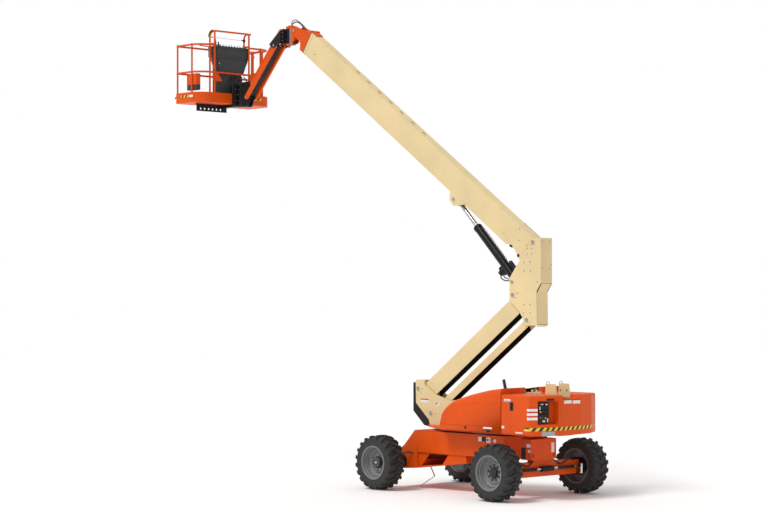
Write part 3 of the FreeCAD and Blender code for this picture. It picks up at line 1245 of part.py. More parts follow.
def guard_rails():
    """Top and middle rails, their posts, the console hoop and the gate's post."""
    right_back = [("gate_rear_x", "-rail_y"), ("rail_back_x", "-rail_y", "rail_bend")]
    left_round = [
        ("rail_back_x", "rail_y", "rail_bend"), ("rail_front_x", "rail_y", "60"),
        ("rail_front_x", "-rail_y", "60"), ("gate_front_x", "-rail_y"),
    ]
    rails = [
        ring_rail("mid_rail", "mid_rail_z", right_back + left_round),
        ring_rail("top_rail_right", "top_rail_z", right_back + [("rail_back_x", "hoop_right_y")]),
        ring_rail("top_rail_left", "top_rail_z", [("rail_back_x", "hoop_left_y")] + left_round),
    ]
    posts = []
    for x, y in (
        ("rail_front_x - 26", "rail_y - 2"), ("platform_rear_x + 260", "rail_y - 3"),
        ("gate_front_x", "-rail_y"),
        ("gate_rear_x", "-rail_y"), ("rail_back_x", "-600"), ("rail_front_x", "0"),
    ):
        posts.append(rod("post", "Z", (x, y), "post_radius", "platform_floor_z + 0.4", "top_rail_z + 4"))
    hoop_front = "rail_back_x + 150"
    for y, leg_foot in (("hoop_left_y", "platform_floor_z + 0.4"), ("hoop_right_y", "top_rail_z + 12")):
        posts.append(rod("hoop_post", "Z", ("rail_back_x", y), "post_radius", "platform_floor_z + 0.4",
                         "hoop_top_z"))
        posts.append(rod("hoop_leg", "Z", (hoop_front, y), "post_radius", leg_foot, "hoop_top_z"))
        for z in ("top_rail_z + 12 + post_radius", "hoop_top_z"):
            posts.append(rod("hoop_arm", "X", (y, z), "post_radius - 1", "rail_back_x", hoop_front))
    posts.append(rod("hoop_bar", "Y", ("rail_back_x", "hoop_top_z"), "post_radius + 1",
                     "hoop_right_y - 9", "hoop_left_y + 9"))
    lugs, bores = [], []
    for z in ("toe_top_z + 90", "top_rail_z - 90"):
        lugs.append(block("gate_lug", ("gate_front_x - 70", "gate_front_x"), ("-rail_y - 22", "-rail_y + 22"),
                          (z, f"{z} + 24")))
        bores.append(rod("gate_lug_bore", "Z", ("gate_front_x - 44", "-rail_y"), "gate_radius + 0.05",
                         f"{z} - 1", f"{z} + 25"))
    hinges = cut("gate_lugs", fused("gate_lug_pair", lugs), bores)
    return node("guard_rails", fused("guard_rails_solid", rails + posts + [hinges], refine=False))


def gate():
    """Swing gate that fills the opening in the platform's far end."""
    y = "-rail_y"
    bars = []
    hinge_x, free_x = "gate_front_x - 44", "gate_rear_x + 44"
    for z in ("mid_rail_z", "top_rail_z"):
        bars.append(rod("gate_bar", "X", (y, z), "gate_radius", free_x, hinge_x))
    for x in (hinge_x, free_x):
        bars.append(rod("gate_upright", "Z", (x, y), "gate_radius", "toe_top_z + 40", "top_rail_z"))
    return node("gate", fused("gate_solid", bars))


def console():
    """Operator's console: a wide top on a tapering body inside the rear rail."""
    top = padded("console_top", "YZ", [
        ("-362", "7900"), ("-362", "8052"), ("462", "8052"), ("462", "7864"), ("420", "7830"),
        ("-320", "7840"),
    ], "platform_rear_x + 56", "platform_rear_x + 300")
    body = padded("console_body", "YZ", [
        ("-120", "platform_floor_z + 0.4"), ("-165", "7560"), ("-235", "7715"), ("-330", "7841"),
        ("430", "7831"),
        ("400", "7500"), ("350", "platform_floor_z + 0.4"),
    ], "platform_rear_x + 66", "platform_rear_x + 230")
    stick = rod("joystick", "Z", ("platform_rear_x + 120", "420"), "12", "8051", "8150")
    return node("console", fused("console_solid", [top, body, stick]))


def document_box():
    """Box for papers that hangs below the middle rail, against the near post."""
    outer, top = "rail_y - 3 - post_radius - 0.4", "mid_rail_z - rail_radius - 15"
    shell = block("document_shell", ("platform_rear_x + 140", "platform_rear_x + 430"),
                  (f"{outer} - 92", outer), (f"{top} - 310", top))
    room = block("document_room", ("platform_rear_x + 146", "platform_rear_x + 424"),
                 (f"{outer} - 86", f"{outer} - 6"), (f"{top} - 304", f"{top} + 1"))
    return node("document_box", cut("document_solid", shell, [room]))


# ---------------------------------------------------------------- assembly

def build():
    chassis_frame()
    swing_bearing()
    drive_axle()
    steer_axle()
    knuckle("left", 1)
    knuckle("right", -1)
    steering()
    ground_strap()
    wheel("drive_left", 1, "axle_x", "drive")
    wheel("drive_right", -1, "axle_x", "drive")
    wheel("steer_left", 1, "-axle_x", "steer")
    wheel("steer_right", -1, "-axle_x", "steer")
    turntable_deck()
    tower_base()
    front_cover()
    counterweight()
    upright_guides()
    ground_controls()
    hood("left", 1)
    hood("right", -1)
    machinery("engine_block", 1, "1560")
    machinery("fluid_tank", -1, "1480")
    rest_fin()
    tower_links()
    tower_cylinder()
    upright()
    main_boom()
    fly_boom()
    fly_head()
    main_cylinder()
    hoses()
    level_bracket()
    jib_rotator()
    jib_links()
    jib_cylinder()
    jib_end_bracket()
    platform_support()
    platform_deck()
    guard_rails()
    gate()
    console()
    document_box()


def check():
    """Stops if any object failed or any sub-part has no sound shape."""
    DOC.recompute()
    for thing in DOC.Objects:
        bad = [word for word in thing.State if word in ("Invalid", "Error")]
        if bad:
            raise RuntimeError(f"{thing.Name}: {bad}")
    for name, thing in NODES.items():
        shape = thing.Shape
        if shape.isNull() or not shape.isValid() or not shape.Solids:
            raise RuntimeError(f"{name}: no sound shape")


def write():
    os.makedirs("parts", exist_ok=True)
    for name, thing in NODES.items():
        thing.Shape.exportStep(f"parts/{name}.step")


build()
check()
write()
print(len(NODES), "sub-parts written")
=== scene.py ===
"""Looks of the boom lift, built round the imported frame. Metres; +X to the platform, +Y left, +Z up."""
import math

import bmesh
import bpy
from mathutils import Matrix, Vector


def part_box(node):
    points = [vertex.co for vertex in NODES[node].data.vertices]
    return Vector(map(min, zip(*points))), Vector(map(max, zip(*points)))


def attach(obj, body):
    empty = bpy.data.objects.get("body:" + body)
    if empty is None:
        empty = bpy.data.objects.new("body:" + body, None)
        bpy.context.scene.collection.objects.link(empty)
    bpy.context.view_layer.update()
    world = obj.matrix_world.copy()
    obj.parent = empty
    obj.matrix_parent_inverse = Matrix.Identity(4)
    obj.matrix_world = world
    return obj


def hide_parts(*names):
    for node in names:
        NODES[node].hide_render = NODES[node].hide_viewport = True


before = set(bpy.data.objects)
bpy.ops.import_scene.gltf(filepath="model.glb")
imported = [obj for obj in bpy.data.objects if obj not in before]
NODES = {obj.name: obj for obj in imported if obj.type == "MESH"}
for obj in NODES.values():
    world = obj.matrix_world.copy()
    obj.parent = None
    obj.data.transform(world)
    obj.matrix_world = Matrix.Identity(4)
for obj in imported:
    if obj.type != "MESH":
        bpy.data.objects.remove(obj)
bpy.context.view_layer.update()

# ---- camera


def placed(name, data):
    """A new object of the scene that shows data."""
    made = bpy.data.objects.new(name, data)
    bpy.context.scene.collection.objects.link(made)
    return made


def make_camera():
    """A camera at the photograph's viewing angle, found by fitting the machine's own lengths."""
    data = bpy.data.cameras.new("view")
    data.lens = 95.03
    data.sensor_width = 36.0
    data.shift_y = 0.0448
    data.clip_end = 200.0
    camera = placed("view", data)
    camera.location = (-23.999, 24.407, 3.382)
    camera.rotation_euler = Vector((0.734, -0.679, 0.0)).to_track_quat("-Z", "Y").to_euler()
    bpy.context.scene.camera = camera


make_camera()

# ---- materials


class Shader:
    """A node material under construction."""

    def __init__(self, name):
        self.material = bpy.data.materials.new(name)
        self.material.use_nodes = True
        self.tree = self.material.node_tree
        self.surface = self.tree.nodes["Principled BSDF"]
        coords = self.add("ShaderNodeTexCoord")
        self.place = coords.outputs["Object"]

    def add(self, kind, **settings):
        made = self.tree.nodes.new(kind)
        for key, value in settings.items():
            if key in made.inputs:
                made.inputs[key].default_value = value
            else:
                setattr(made, key, value)
        return made

    def link(self, start, end):
        self.tree.links.new(start, end)

    def feed(self, socket, value):
        self.link(value, self.surface.inputs[socket])

    def noise(self, scale, detail=4.0, rough=0.55):
        made = self.add("ShaderNodeTexNoise", Scale=scale, Detail=detail, Roughness=rough)
        self.link(self.place, made.inputs["Vector"])
        return made.outputs["Fac"]

    def band(self, value, low, high, start=0.0, end=1.0):
        made = self.add("ShaderNodeMapRange")
        for socket, number in (("From Min", low), ("From Max", high), ("To Min", start), ("To Max", end)):
            made.inputs[socket].default_value = number
        self.link(value, made.inputs["Value"])
        return made.outputs["Result"]

    def mix(self, factor, first, second):
        made = self.add("ShaderNodeMix", data_type="RGBA")
        self.link(factor, made.inputs["Factor"])
        for socket, colour in ((6, first), (7, second)):
            if isinstance(colour, tuple):
                made.inputs[socket].default_value = (*colour, 1.0)
            else:
                self.link(colour, made.inputs[socket])
        return made.outputs[2]

    def bump(self, height, distance, strength=1.0, normal=None):
        made = self.add("ShaderNodeBump", Distance=distance, Strength=strength)
        self.link(height, made.inputs["Height"])
        if normal is not None:
            self.link(normal, made.inputs["Normal"])
        self.link(made.outputs["Normal"], self.surface.inputs["Normal"])


def shade(colour, factor):
    return tuple(min(1.0, part * factor) for part in colour)


def painted(name, colour, rough, dirt, edge_wear_and_highlight):
    """Sprayed paint: slow colour drift, dust in patches, edges painted lighter (partly wear, partly painted
    highlight) and orange-peel bump.
    """
    made = Shader(name)
    drift = made.mix(made.band(made.noise(1.3, 3), 0.35, 0.65), shade(colour, 0.93), shade(colour, 1.04))
    grime = zip(shade(colour, 0.8), (0.3, 0.27, 0.23))
    dust_colour = tuple(0.75 * part + 0.25 * grey for part, grey in grime)
    dusty = made.mix(made.band(made.noise(5.0, 8, 0.65), 0.52, 0.8, 0.0, dirt), drift, dust_colour)
    edge = made.add("ShaderNodeBevel", samples=4)
    edge.inputs["Radius"].default_value = 0.006
    plain = made.add("ShaderNodeNewGeometry")
    facing = made.add("ShaderNodeVectorMath", operation="DOT_PRODUCT")
    made.link(edge.outputs["Normal"], facing.inputs[0])
    made.link(plain.outputs["Normal"], facing.inputs[1])
    # edges painted lighter: partly wear, partly painted highlight
    worn_and_highlit_edges = made.band(facing.outputs["Value"], 0.97, 0.8, 0.0, edge_wear_and_highlight)
    made.feed("Base Color", made.mix(worn_and_highlit_edges, dusty, shade(colour, 1.18)))
    made.surface.inputs["Specular IOR Level"].default_value = 0.2
    made.feed("Roughness", made.band(made.noise(9.0, 6), 0.3, 0.7, rough - 0.06, rough + 0.12))
    made.bump(made.noise(420.0, 2), 0.0004, 0.35, edge.outputs["Normal"])
    return made.material


def rubber(name, colour, dust, scale=14.0, rough=0.78):
    made = Shader(name)
    powder = made.band(made.noise(scale, 8, 0.7), 0.42, 0.78, 0.0, 0.7)
    made.feed("Base Color", made.mix(powder, colour, dust))
    made.feed("Roughness", made.band(made.noise(30.0, 4), 0.3, 0.7, rough - 0.1, rough + 0.1))
    made.bump(made.noise(260.0, 5, 0.7), 0.0012, 0.5)
    return made.material


def metal(name, colour, rough):
    made = Shader(name)
    made.surface.inputs["Metallic"].default_value = 1.0
    streak = made.noise(90.0, 5, 0.6)
    made.link(made.mix(made.band(streak, 0.3, 0.7), shade(colour, 0.86), shade(colour, 1.06)),
              made.surface.inputs["Base Color"])
    made.feed("Roughness", made.band(streak, 0.3, 0.7, rough - 0.05, rough + 0.1))
    made.bump(streak, 0.0003, 0.3)
    return made.material


def plastic(name, colour):
    made = Shader(name)
    rough = 0.5
    made.link(made.mix(made.band(made.noise(7.0, 6), 0.4, 0.7, 0.0, 0.6), colour, shade(colour, 1.35)),
              made.surface.inputs["Base Color"])
    made.feed("Roughness", made.band(made.noise(20.0, 4), 0.3, 0.7, rough - 0.08, rough + 0.08))
    made.bump(made.noise(700.0, 3), 0.0003, 0.5)
    return made.material


def striped(name, first, second, pitch, direction):
    """Slanted warning bands; direction says how position becomes distance across them."""
    made = Shader(name)
    across = made.add("ShaderNodeVectorMath", operation="DOT_PRODUCT")
    made.link(made.place, across.inputs[0])
    across.inputs[1].default_value = direction
    wrap = made.add("ShaderNodeMath", operation="PINGPONG")
    made.link(across.outputs["Value"], wrap.inputs[0])
    wrap.inputs[1].default_value = pitch / 2
    clear = made.band(wrap.outputs[0], pitch / 4 - 0.0008, pitch / 4 + 0.0008)
    colour = made.mix(clear, first, second)
    scuffed = made.mix(made.band(made.noise(60.0, 6), 0.55, 0.8, 0.0, 0.35), colour, (0.25, 0.2, 0.12))
    made.feed("Base Color", scuffed)
    made.surface.inputs["Roughness"].default_value = 0.45
    made.bump(made.noise(300.0, 3), 0.0002, 0.4)
    return made.material


ORANGE = (0.72, 0.082, 0.003)
CREAM = (0.745, 0.59, 0.325)
YELLOW = (0.86, 0.55, 0.03)
BLACK = (0.012, 0.012, 0.013)

# a painted look: its name, colour, roughness, dust, and how much lighter its edges are painted (partly wear,
# partly painted highlight)
MAT = {
    "orange": painted("orange_paint", ORANGE, 0.38, 0.1, 0.22),
    "cream": painted("cream_paint", CREAM, 0.38, 0.12, 0.25),
    "black": painted("black_paint", (0.014, 0.014, 0.016), 0.34, 0.1, 0.6),
    "gloss_black": painted("gloss_black_paint", (0.01, 0.01, 0.012), 0.2, 0.05, 0.6),
    "dark_grey": painted("dark_grey_paint", (0.045, 0.046, 0.05), 0.45, 0.2, 0.4),
    "rim": painted("rim_paint", (0.22, 0.22, 0.222), 0.42, 0.3, 0.3),
    "white": painted("white_plate", (0.78, 0.78, 0.76), 0.5, 0.12, 0.1),
    "red": painted("red_mark", (0.62, 0.03, 0.02), 0.45, 0.1, 0.2),
    "yellow": painted("yellow_mark", YELLOW, 0.45, 0.15, 0.2),
    "green": painted("green_mark", (0.05, 0.35, 0.08), 0.45, 0.1, 0.2),
    "tyre": rubber("tyre_rubber", (0.02, 0.02, 0.021), (0.045, 0.044, 0.041)),
    "hose": rubber("hose_rubber", (0.012, 0.012, 0.013), (0.03, 0.03, 0.03), 60.0, 0.55),
    "steel": metal("bare_steel", (0.42, 0.42, 0.43), 0.38),
    "chrome": metal("polished_rod", (0.62, 0.63, 0.65), 0.14),
    "zinc": metal("zinc_bolt", (0.5, 0.49, 0.45), 0.35),
    "plastic": plastic("console_plastic", (0.028, 0.03, 0.033)),
    "hazard": striped("hazard_tape", YELLOW, BLACK, 0.11, (0.0, 1.0, 0.75)),
    "hazard_x": striped("hazard_tape_side", YELLOW, BLACK, 0.11, (1.0, 0.0, 0.75)),
    "hazard_pad": striped("hazard_pad", YELLOW, BLACK, 0.1, (0.3, 1.0, 0.3)),
}

CAD_LOOKS = {
    "orange": ["chassis_frame", "steer_axle", "hood_left", "hood_right", "fly_head", "level_bracket",
               "jib_upper_link", "jib_lower_link", "guard_rails", "gate", "platform_deck", "document_box",
               "counterweight", "turntable_deck"],
    "cream": ["tower_base", "tower_upper_link", "tower_lower_link", "upright", "main_boom", "fly_boom",
              "upright_guide_left", "upright_guide_right"],
    "black": ["front_cover", "ground_controls", "jib_rotator", "jib_end_bracket", "platform_support",
              "drive_axle", "knuckle_left", "knuckle_right", "fluid_tank"],
    "gloss_black": ["jib_cylinder_barrel", "main_cylinder_barrel", "tower_cylinder_barrel",
                    "steering_cylinder"],
    "rim": ["rim_drive_left", "rim_drive_right", "rim_steer_left", "rim_steer_right"],
    "dark_grey": ["hub_drive_left", "hub_drive_right", "hub_steer_left", "hub_steer_right", "swing_bearing",
                  "engine_block"],
    "tyre": ["tyre_drive_left", "tyre_drive_right", "tyre_steer_left", "tyre_steer_right", "rest_fin"],
    "hose": ["ground_strap", "hose_near", "hose_far"],
    "chrome": ["main_cylinder_rod", "tower_cylinder_rod", "jib_cylinder_rod", "steering_rod"],
    "plastic": ["console"],
}

for look, names in CAD_LOOKS.items():
    for node_name in names:
        slots = NODES[node_name].data.materials
        slots.clear()
        slots.append(MAT[look])

# ---- mesh pieces


def basis(x, y, z, pitch):
    """A local frame at x, y, z whose +x end is lifted by pitch degrees."""
    return Matrix.Translation((x, y, z)) @ Matrix.Rotation(math.radians(-pitch), 4, "Y")


def circle(radius, count, start=0.0):
    """Points round a circle, start being the first one's share of a step."""
    turns = [2 * math.pi * (i + start) / count for i in range(count)]
    return [(radius * math.cos(t), radius * math.sin(t)) for t in turns]


def rounded(thing, width, segments, angle):
    """Rounds the edges of a thing that turn by more than angle degrees."""
    rounding = thing.modifiers.new("edges", "BEVEL")
    rounding.width = width
    rounding.segments = segments
    rounding.limit_method = "ANGLE"
    rounding.angle_limit = math.radians(angle)
    return rounding


class Piece:
    """One visible piece: solids gathered in a mesh, then finished and set to ride on a body."""

    def __init__(self, name, look, body, at=None):
        self.name, self.look, self.body = name, look, body
        self.at = at or Matrix.Identity(4)
        self.mesh = bmesh.new()

    def corner(self, point):
        return self.mesh.verts.new(self.at @ Vector(point))

    def faces(self, rings, caps=True):
        """Skins a row of rings of points."""
        rows = [[self.corner(point) for point in ring] for ring in rings]
        count = len(rows[0])
        for first, second in zip(rows, rows[1:]):
            for i in range(count):
                j = (i + 1) % count
                self.mesh.faces.new((first[i], first[j], second[j], second[i]))
        if caps:
            self.mesh.faces.new(rows[0][::-1])
            self.mesh.faces.new(rows[-1])

    def box(self, low, high):
        (a, b, c), (d, e, f) = low, high
        self.faces([[(a, b, c), (d, b, c), (d, e, c), (a, e, c)],
                    [(a, b, f), (d, b, f), (d, e, f), (a, e, f)]])

    def prism(self, outline, low, high, plane="XZ"):
        def put(u, v, w):
            return {"XZ": (u, w, v), "XY": (u, v, w), "YZ": (w, u, v)}[plane]
        self.faces([[put(u, v, low) for u, v in outline], [put(u, v, high) for u, v in outline]])

    def rod(self, start, end, radius, end_radius=None, sides=24):
        start, end = Vector(start), Vector(end)
        turn = (end - start).to_track_quat("Z", "Y")
        rings = []
        for centre, size in ((start, radius), (end, radius if end_radius is None else end_radius)):
            rings.append([centre + turn @ Vector((x, y, 0)) for x, y in circle(size, sides)])
        self.faces(rings)

    def lathe(self, start, axis, profile, sides=48):
        """Turns a profile of (distance along axis, radius) about the axis."""
        turn = Vector(axis).to_track_quat("Z", "Y")
        self.faces([
            [Vector(start) + turn @ Vector((x, y, along)) for x, y in circle(radius, sides)]
            for along, radius in profile
        ])

    def pin_end(self, point, mark, radius):
        """Capped end of a pin that stands out of a side plate."""
        self.lathe(point, (0, mark, 0), [
            (0, radius), (0.004, radius), (0.006, radius - 0.003), (0.006, 0.014), (0.004, 0.013),
        ], 36)

    def bolt(self, point, axis, radius=0.012, height=0.008):
        """Hexagon head on a washer."""
        axis = Vector(axis).normalized()
        point = Vector(point)
        self.rod(point, point + axis * height * 0.25, radius * 1.45, sides=20)
        self.rod(point + axis * height * 0.25, point + axis * height, radius, radius * 0.94, sides=6)

    def tube(self, points, radius, sides=12, steps=8):
        """A round tube along a smooth line through points."""
        line = smooth(points, steps)
        rings, up = [], Vector((0, 0, 1))
        for i, centre in enumerate(line):
            ahead = (line[min(i + 1, len(line) - 1)] - line[max(i - 1, 0)]).normalized()
            side = ahead.cross(up)
            if side.length < 0.05:
                side = ahead.cross(Vector((1, 0, 0)))
            side.normalize()
            top = side.cross(ahead).normalized()
            up = top
            rings.append([centre + side * x + top * y for x, y in circle(radius, sides)])
        self.faces(rings)

    def done(self, bevel=0.0, smooth_angle=40, segments=2):
        bmesh.ops.recalc_face_normals(self.mesh, faces=self.mesh.faces)
        data = bpy.data.meshes.new(self.name)
        self.mesh.to_mesh(data)
        self.mesh.free()
        made = placed(self.name, data)
        data.materials.append(MAT[self.look])
        data.shade_smooth()
        data.set_sharp_from_angle(angle=math.radians(smooth_angle))
        if bevel:
            rounded(made, bevel, segments, 40)
        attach(made, self.body)
        return made


def boxes(name, look, body, shapes, bevel=0.0, at=None):
    """A piece made of boxes, each from its low corner to its high one."""
    piece = Piece(name, look, body, at)
    for low, high in shapes:
        piece.box(low, high)
    piece.done(bevel)


def smooth(points, steps):
    """Points along a Catmull-Rom line through the given ones."""
    points = [Vector(point) for point in points]
    if len(points) < 3:
        return points
    padded = [2 * points[0] - points[1]] + points + [2 * points[-1] - points[-2]]
    line = []
    for a, b, c, d in zip(padded, padded[1:], padded[2:], padded[3:]):
        for i in range(steps):
            t = i / steps
            line.append(0.5 * (2 * b + (c - a) * t + (2 * a - 5 * b + 4 * c - d) * t * t
                               + (3 * b - a - 3 * c + d) * t ** 3))
    return line + [points[-1]]


# frames that run along a part from its pin: boom, the tower's links, the lift cylinder and the jib's links
BOOM = basis(-1.343, 0, 4.17, 34.9)
LINK = basis(1.37, 0, 1.686, -35.7)
LOWER = basis(1.054, 0, 1.276, -35.7)
LIFT = basis(-0.873, 0, 3.521, 45.03)
JIB = basis(5.164, 0, 8.23, -47.0)
JIB_LOW = basis(5.275, 0, 7.971, -47.0)
SIDES = ((1, "left"), (-1, "right"))

# ---- hoses over the levelling pin

LEVEL_PIN = Vector((4.73, 0.0, 8.2))
HOSE_ROUTES = {
    "near": (0.028, 0.011, "medium", [
        (0.151, 0.121), (0.114, 0.1543), (0.056, 0.17), (-0.014, 0.164), (-0.086, 0.132), (-0.146, 0.086),
        (-0.187, 0.03), (-0.208, -0.03), (-0.208, -0.08),
    ]),
    "far": (-0.028, 0.008, "limp", [
        (0.228, 0.13), (0.228, 0.17), (0.198, 0.208), (0.142, 0.224), (0.076, 0.213), (0.0, 0.171),
        (-0.078, 0.119), (-0.152, 0.063), (-0.21, 0.008), (-0.246, -0.042), (-0.246, -0.08),
    ]),
}


def head_hose(name, y, radius, stiffness, route):
    data = bpy.data.curves.new("head_hose_" + name, "CURVE")
    data.dimensions = "3D"
    data.bevel_depth = radius
    data.bevel_resolution = 5
    data.resolution_u = 10
    data.use_fill_caps = True
    points = [LEVEL_PIN + Vector((x, y, z)) for x, z in route]
    line = data.splines.new("NURBS")
    line.points.add(len(points) - 1)
    for knot, point in zip(line.points, points):
        knot.co = (*point, 1.0)
    line.order_u = 3
    line.use_endpoint_u = True
    data.materials.append(MAT["hose"])
    made = placed("head_hose_" + name, data)
    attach(made, "bracket")
    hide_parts("hose_" + name)


for hose_name, hose_shape in HOSE_ROUTES.items():
    head_hose(hose_name, *hose_shape)

# ---- wheels

AXLE_X, WHEEL_Y, AXLE_Z = 1.3675, 1.0345, 0.462


def tyre(name, at):
    """Carcass with twenty slanted bar lugs a side that wrap over the shoulders."""
    piece = Piece("tread_" + name, "tyre", "wheel_" + name, at)
    carcass = [
        (-0.1735, 0.2912), (-0.1745, 0.31), (-0.168, 0.33), (-0.172, 0.345), (-0.172, 0.385),
        (-0.16, 0.415), (-0.12, 0.432), (0.12, 0.432), (0.16, 0.415), (0.172, 0.385), (0.172, 0.345),
        (0.168, 0.33), (0.1745, 0.31), (0.1735, 0.2912),
    ]
    piece.faces([[(x, y, z) for x, z in circle(radius, 96)] for y, radius in carcass], caps=False)
    sections = [
        (0.000, 0.459, 0.426, 0.036), (0.045, 0.4615, 0.426, 0.042), (0.1, 0.461, 0.424, 0.05),
        (0.145, 0.455, 0.412, 0.058), (0.166, 0.446, 0.4, 0.062), (0.1752, 0.432, 0.392, 0.064),
        (0.175, 0.398, 0.372, 0.058),
    ]
    for mark in (1, -1):
        for i in range(20):
            start = 2 * math.pi * (i + (0.5 if mark < 0 else 0.0)) / 20
            lug = []
            for y, top, foot, half in sections:
                angle = start + 1.15 * (y - 0.02)
                lug.append([
                    (radius * math.cos(a), mark * (y - 0.012 if y < 0.02 else y), radius * math.sin(a))
                    for radius, a in ((foot, angle - half - 0.012), (top, angle - half), (top, angle + half),
                                      (foot, angle + half + 0.012))
                ])
            piece.faces(lug)
    made = piece.done(0.0035)
    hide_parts("tyre_" + name)


def wheel_trim(name, at):
    """Stepped rings inside the rim, wheel bolts round the hub and the hub's cap."""
    rings = Piece("rim_rings_" + name, "rim", "wheel_" + name, at)
    for inner, outer, low, high in ((0.262, 0.277, 0.12, 0.166), (0.222, 0.238, 0.03, 0.086),
                                    (0.15, 0.176, 0.031, 0.046)):
        section = [(low, outer), (high - 0.004, outer), (high, outer - 0.004), (high, inner + 0.004),
                   (high - 0.004, inner), (low, inner)]
        loops = [[(x, y, z) for x, z in circle(radius, 72)] for y, radius in section]
        rings.faces(loops + [loops[0]], caps=False)
    rings.done()
    bolts = Piece("wheel_bolts_" + name, "zinc" if "drive" in name else "dark_grey", "wheel_" + name, at)
    for x, z in circle(0.122, 9, 0.25):
        bolts.bolt((x, 0.032, z), (0, 1, 0), 0.013, 0.018)
    face, reach = (0.097, 0.07) if "drive" in name else (0.065, 0.045)
    for x, z in circle(reach, 8):
        bolts.bolt((x, face, z), (0, 1, 0), 0.006, 0.006)
    bolts.rod((0, face - 0.002, 0), (0, face + 0.006, 0), 0.028, 0.022)
    bolts.done()


for axle, wheel_x in (("drive_", AXLE_X), ("steer_", -AXLE_X)):
    for wheel_mark, wheel_side in SIDES:
        wheel_at = Matrix.Translation((wheel_x, wheel_mark * WHEEL_Y, AXLE_Z))
        wheel_at = wheel_at @ Matrix.Rotation(0 if wheel_mark > 0 else math.pi, 4, "Z")
        tyre(axle + wheel_side, wheel_at)
        wheel_trim(axle + wheel_side, wheel_at)


def bent(points, steps=7):
    """Straight runs between points (x, y, z) with a round bend at each (x, y, z, radius)."""
    line = [Vector(points[0][:3])]
    for before, here, after in zip(points, points[1:], points[2:]):
        corner = Vector(here[:3])
        radius = here[3] if len(here) > 3 else 0.0
        if not radius:
            line.append(corner)
            continue
        back = (Vector(before[:3]) - corner).normalized()
        ahead = (Vector(after[:3]) - corner).normalized()
        half = back.angle(ahead) / 2
        reach = radius / math.tan(half)
        centre = corner + (back + ahead).normalized() * (radius / math.sin(half))
        first, last = corner + back * reach - centre, corner + ahead * reach - centre
        for i in range(steps + 1):
            line.append(centre + first.normalized().slerp(last.normalized(), i / steps) * radius)
    line.append(Vector(points[-1][:3]))
    return line


# ---- platform

BACK, FRONT, LEFT, RIGHT = 6.575, 7.285, 0.89, -0.89
FLOOR, TOE, MID_RAIL, TOP_RAIL, HOOP = 6.985, 7.154, 7.544, 8.065, 8.335
LEG_X = BACK + 0.15


def guard_rails():
    """Rails with bends and collars, the hoop over the console with its pad, rope and gussets."""
    near, far, stub = 0.522, -0.314, TOP_RAIL + 0.03
    piece = Piece("rails", "orange", "platform")
    right_back = [(6.868, RIGHT), (BACK, RIGHT, 0.275)]
    left_round = [(BACK, LEFT, 0.275), (FRONT, LEFT, 0.05), (FRONT, RIGHT, 0.05), (7.202, RIGHT)]
    for z, runs in ((MID_RAIL, [right_back + left_round]),
                    (TOP_RAIL, [right_back + [(BACK, far)], [(BACK, near)] + left_round])):
        for run in runs:
            piece.tube(bent([(x, y, z, *radius) for x, y, *radius in run]), 0.0185, 16, 1)
    for x, y in ((7.259, LEFT - 0.002), (6.81, LEFT - 0.003), (7.2, RIGHT), (6.87, RIGHT), (BACK, -0.6),
                 (FRONT, 0.0)):
        piece.rod((x, y, FLOOR), (x, y, TOP_RAIL), 0.017)
        for z in (MID_RAIL, TOP_RAIL):
            piece.lathe((x, y, z - 0.024), (0, 0, 1),
                        [(0, 0.0172), (0.006, 0.0205), (0.042, 0.0205), (0.048, 0.0172)], 20)
    legs = bent([
        (LEG_X, near, stub), (LEG_X, near, HOOP, 0.09), (BACK, near, HOOP, 0.02),
        (BACK, far, HOOP, 0.02), (LEG_X, far, HOOP, 0.09), (LEG_X, far, stub),
    ])
    piece.tube(legs, 0.0175, 16, 1)
    for y in (near, far):
        piece.rod((BACK, y, FLOOR), (BACK, y, HOOP), 0.0172)
        foot = bent([(BACK, y, stub), (LEG_X, y, stub)])
        piece.tube(foot, 0.0172, 16, 1)
    piece.rod((BACK, -0.352, HOOP), (BACK, -0.345, HOOP), 0.022)
    piece.rod((LEG_X, near, FLOOR), (LEG_X, near, stub), 0.0172)
    piece.tube([(LEG_X, near, 7.95), (BACK + 0.11, near, 7.8), (BACK, near, 7.58)], 0.013)
    piece.tube(bent([(6.592, 0.77, 8.06), (6.77, 0.765, 8.06, 0.06), (6.77, 0.56, 8.05, 0.05),
                     (6.728, 0.524, 8.045)]), 0.011, 12, 1)
    piece.tube(bent([(6.592, -0.64, 8.06), (6.745, -0.64, 8.03, 0.06), (6.745, -0.4, 8.02, 0.05),
                     (6.728, -0.316, 8.04)]), 0.011, 12, 1)
    for z in (7.244, 7.975):
        piece.prism([(7.13, -0.912), (7.2, -0.912), (7.2, -0.868), (7.13, -0.868)], z, z + 0.024, "XY")
    made = piece.done(0.0015)
    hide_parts("guard_rails")
    gussets = Piece("gussets", "orange", "platform")
    gussets.prism([(0.548, 7.372), (0.548, 7.545), (0.48, 7.56), (0.352, 7.395), (0.352, 7.378)], 6.56, 6.568,
                  "YZ")
    gussets.prism([(-0.3, 7.378), (-0.3, 7.47), (-0.33, 7.56), (-0.46, 7.6), (-0.48, 7.372)], 6.56, 6.568,
                  "YZ")
    for y in (0.548, -0.48):
        gussets.box((6.56, y - 0.004, 7.372), (6.594, y + 0.004, 7.545))
    gussets.done(0.002)
    pad = Piece("hoop_pad", "hazard_pad", "platform")
    pad.tube(bent([(LEG_X, near, 8.225), (LEG_X, near, HOOP, 0.09), (BACK + 0.055, near, HOOP)]), 0.029,
             20, 1)
    pad.done(0.003)
    rope = Piece("alert_rope", "steel", "platform")
    rope.tube([(BACK + 0.145, 0.5, 8.236), (BACK + 0.147, 0.1, 8.226), (BACK + 0.145, -0.3, 8.222)], 0.0035,
              8)
    rope.done()
    caps = Piece("rope_ends", "black", "platform")
    for y, mark in ((0.5, -1), (-0.296, 1)):
        caps.rod((BACK + 0.145, y, 8.23), (BACK + 0.145, y + mark * 0.05, 8.229), 0.01, 0.006)
    caps.rod((LEG_X, far, 8.2), (LEG_X, far, 8.245), 0.026)
    caps.done(0.002)


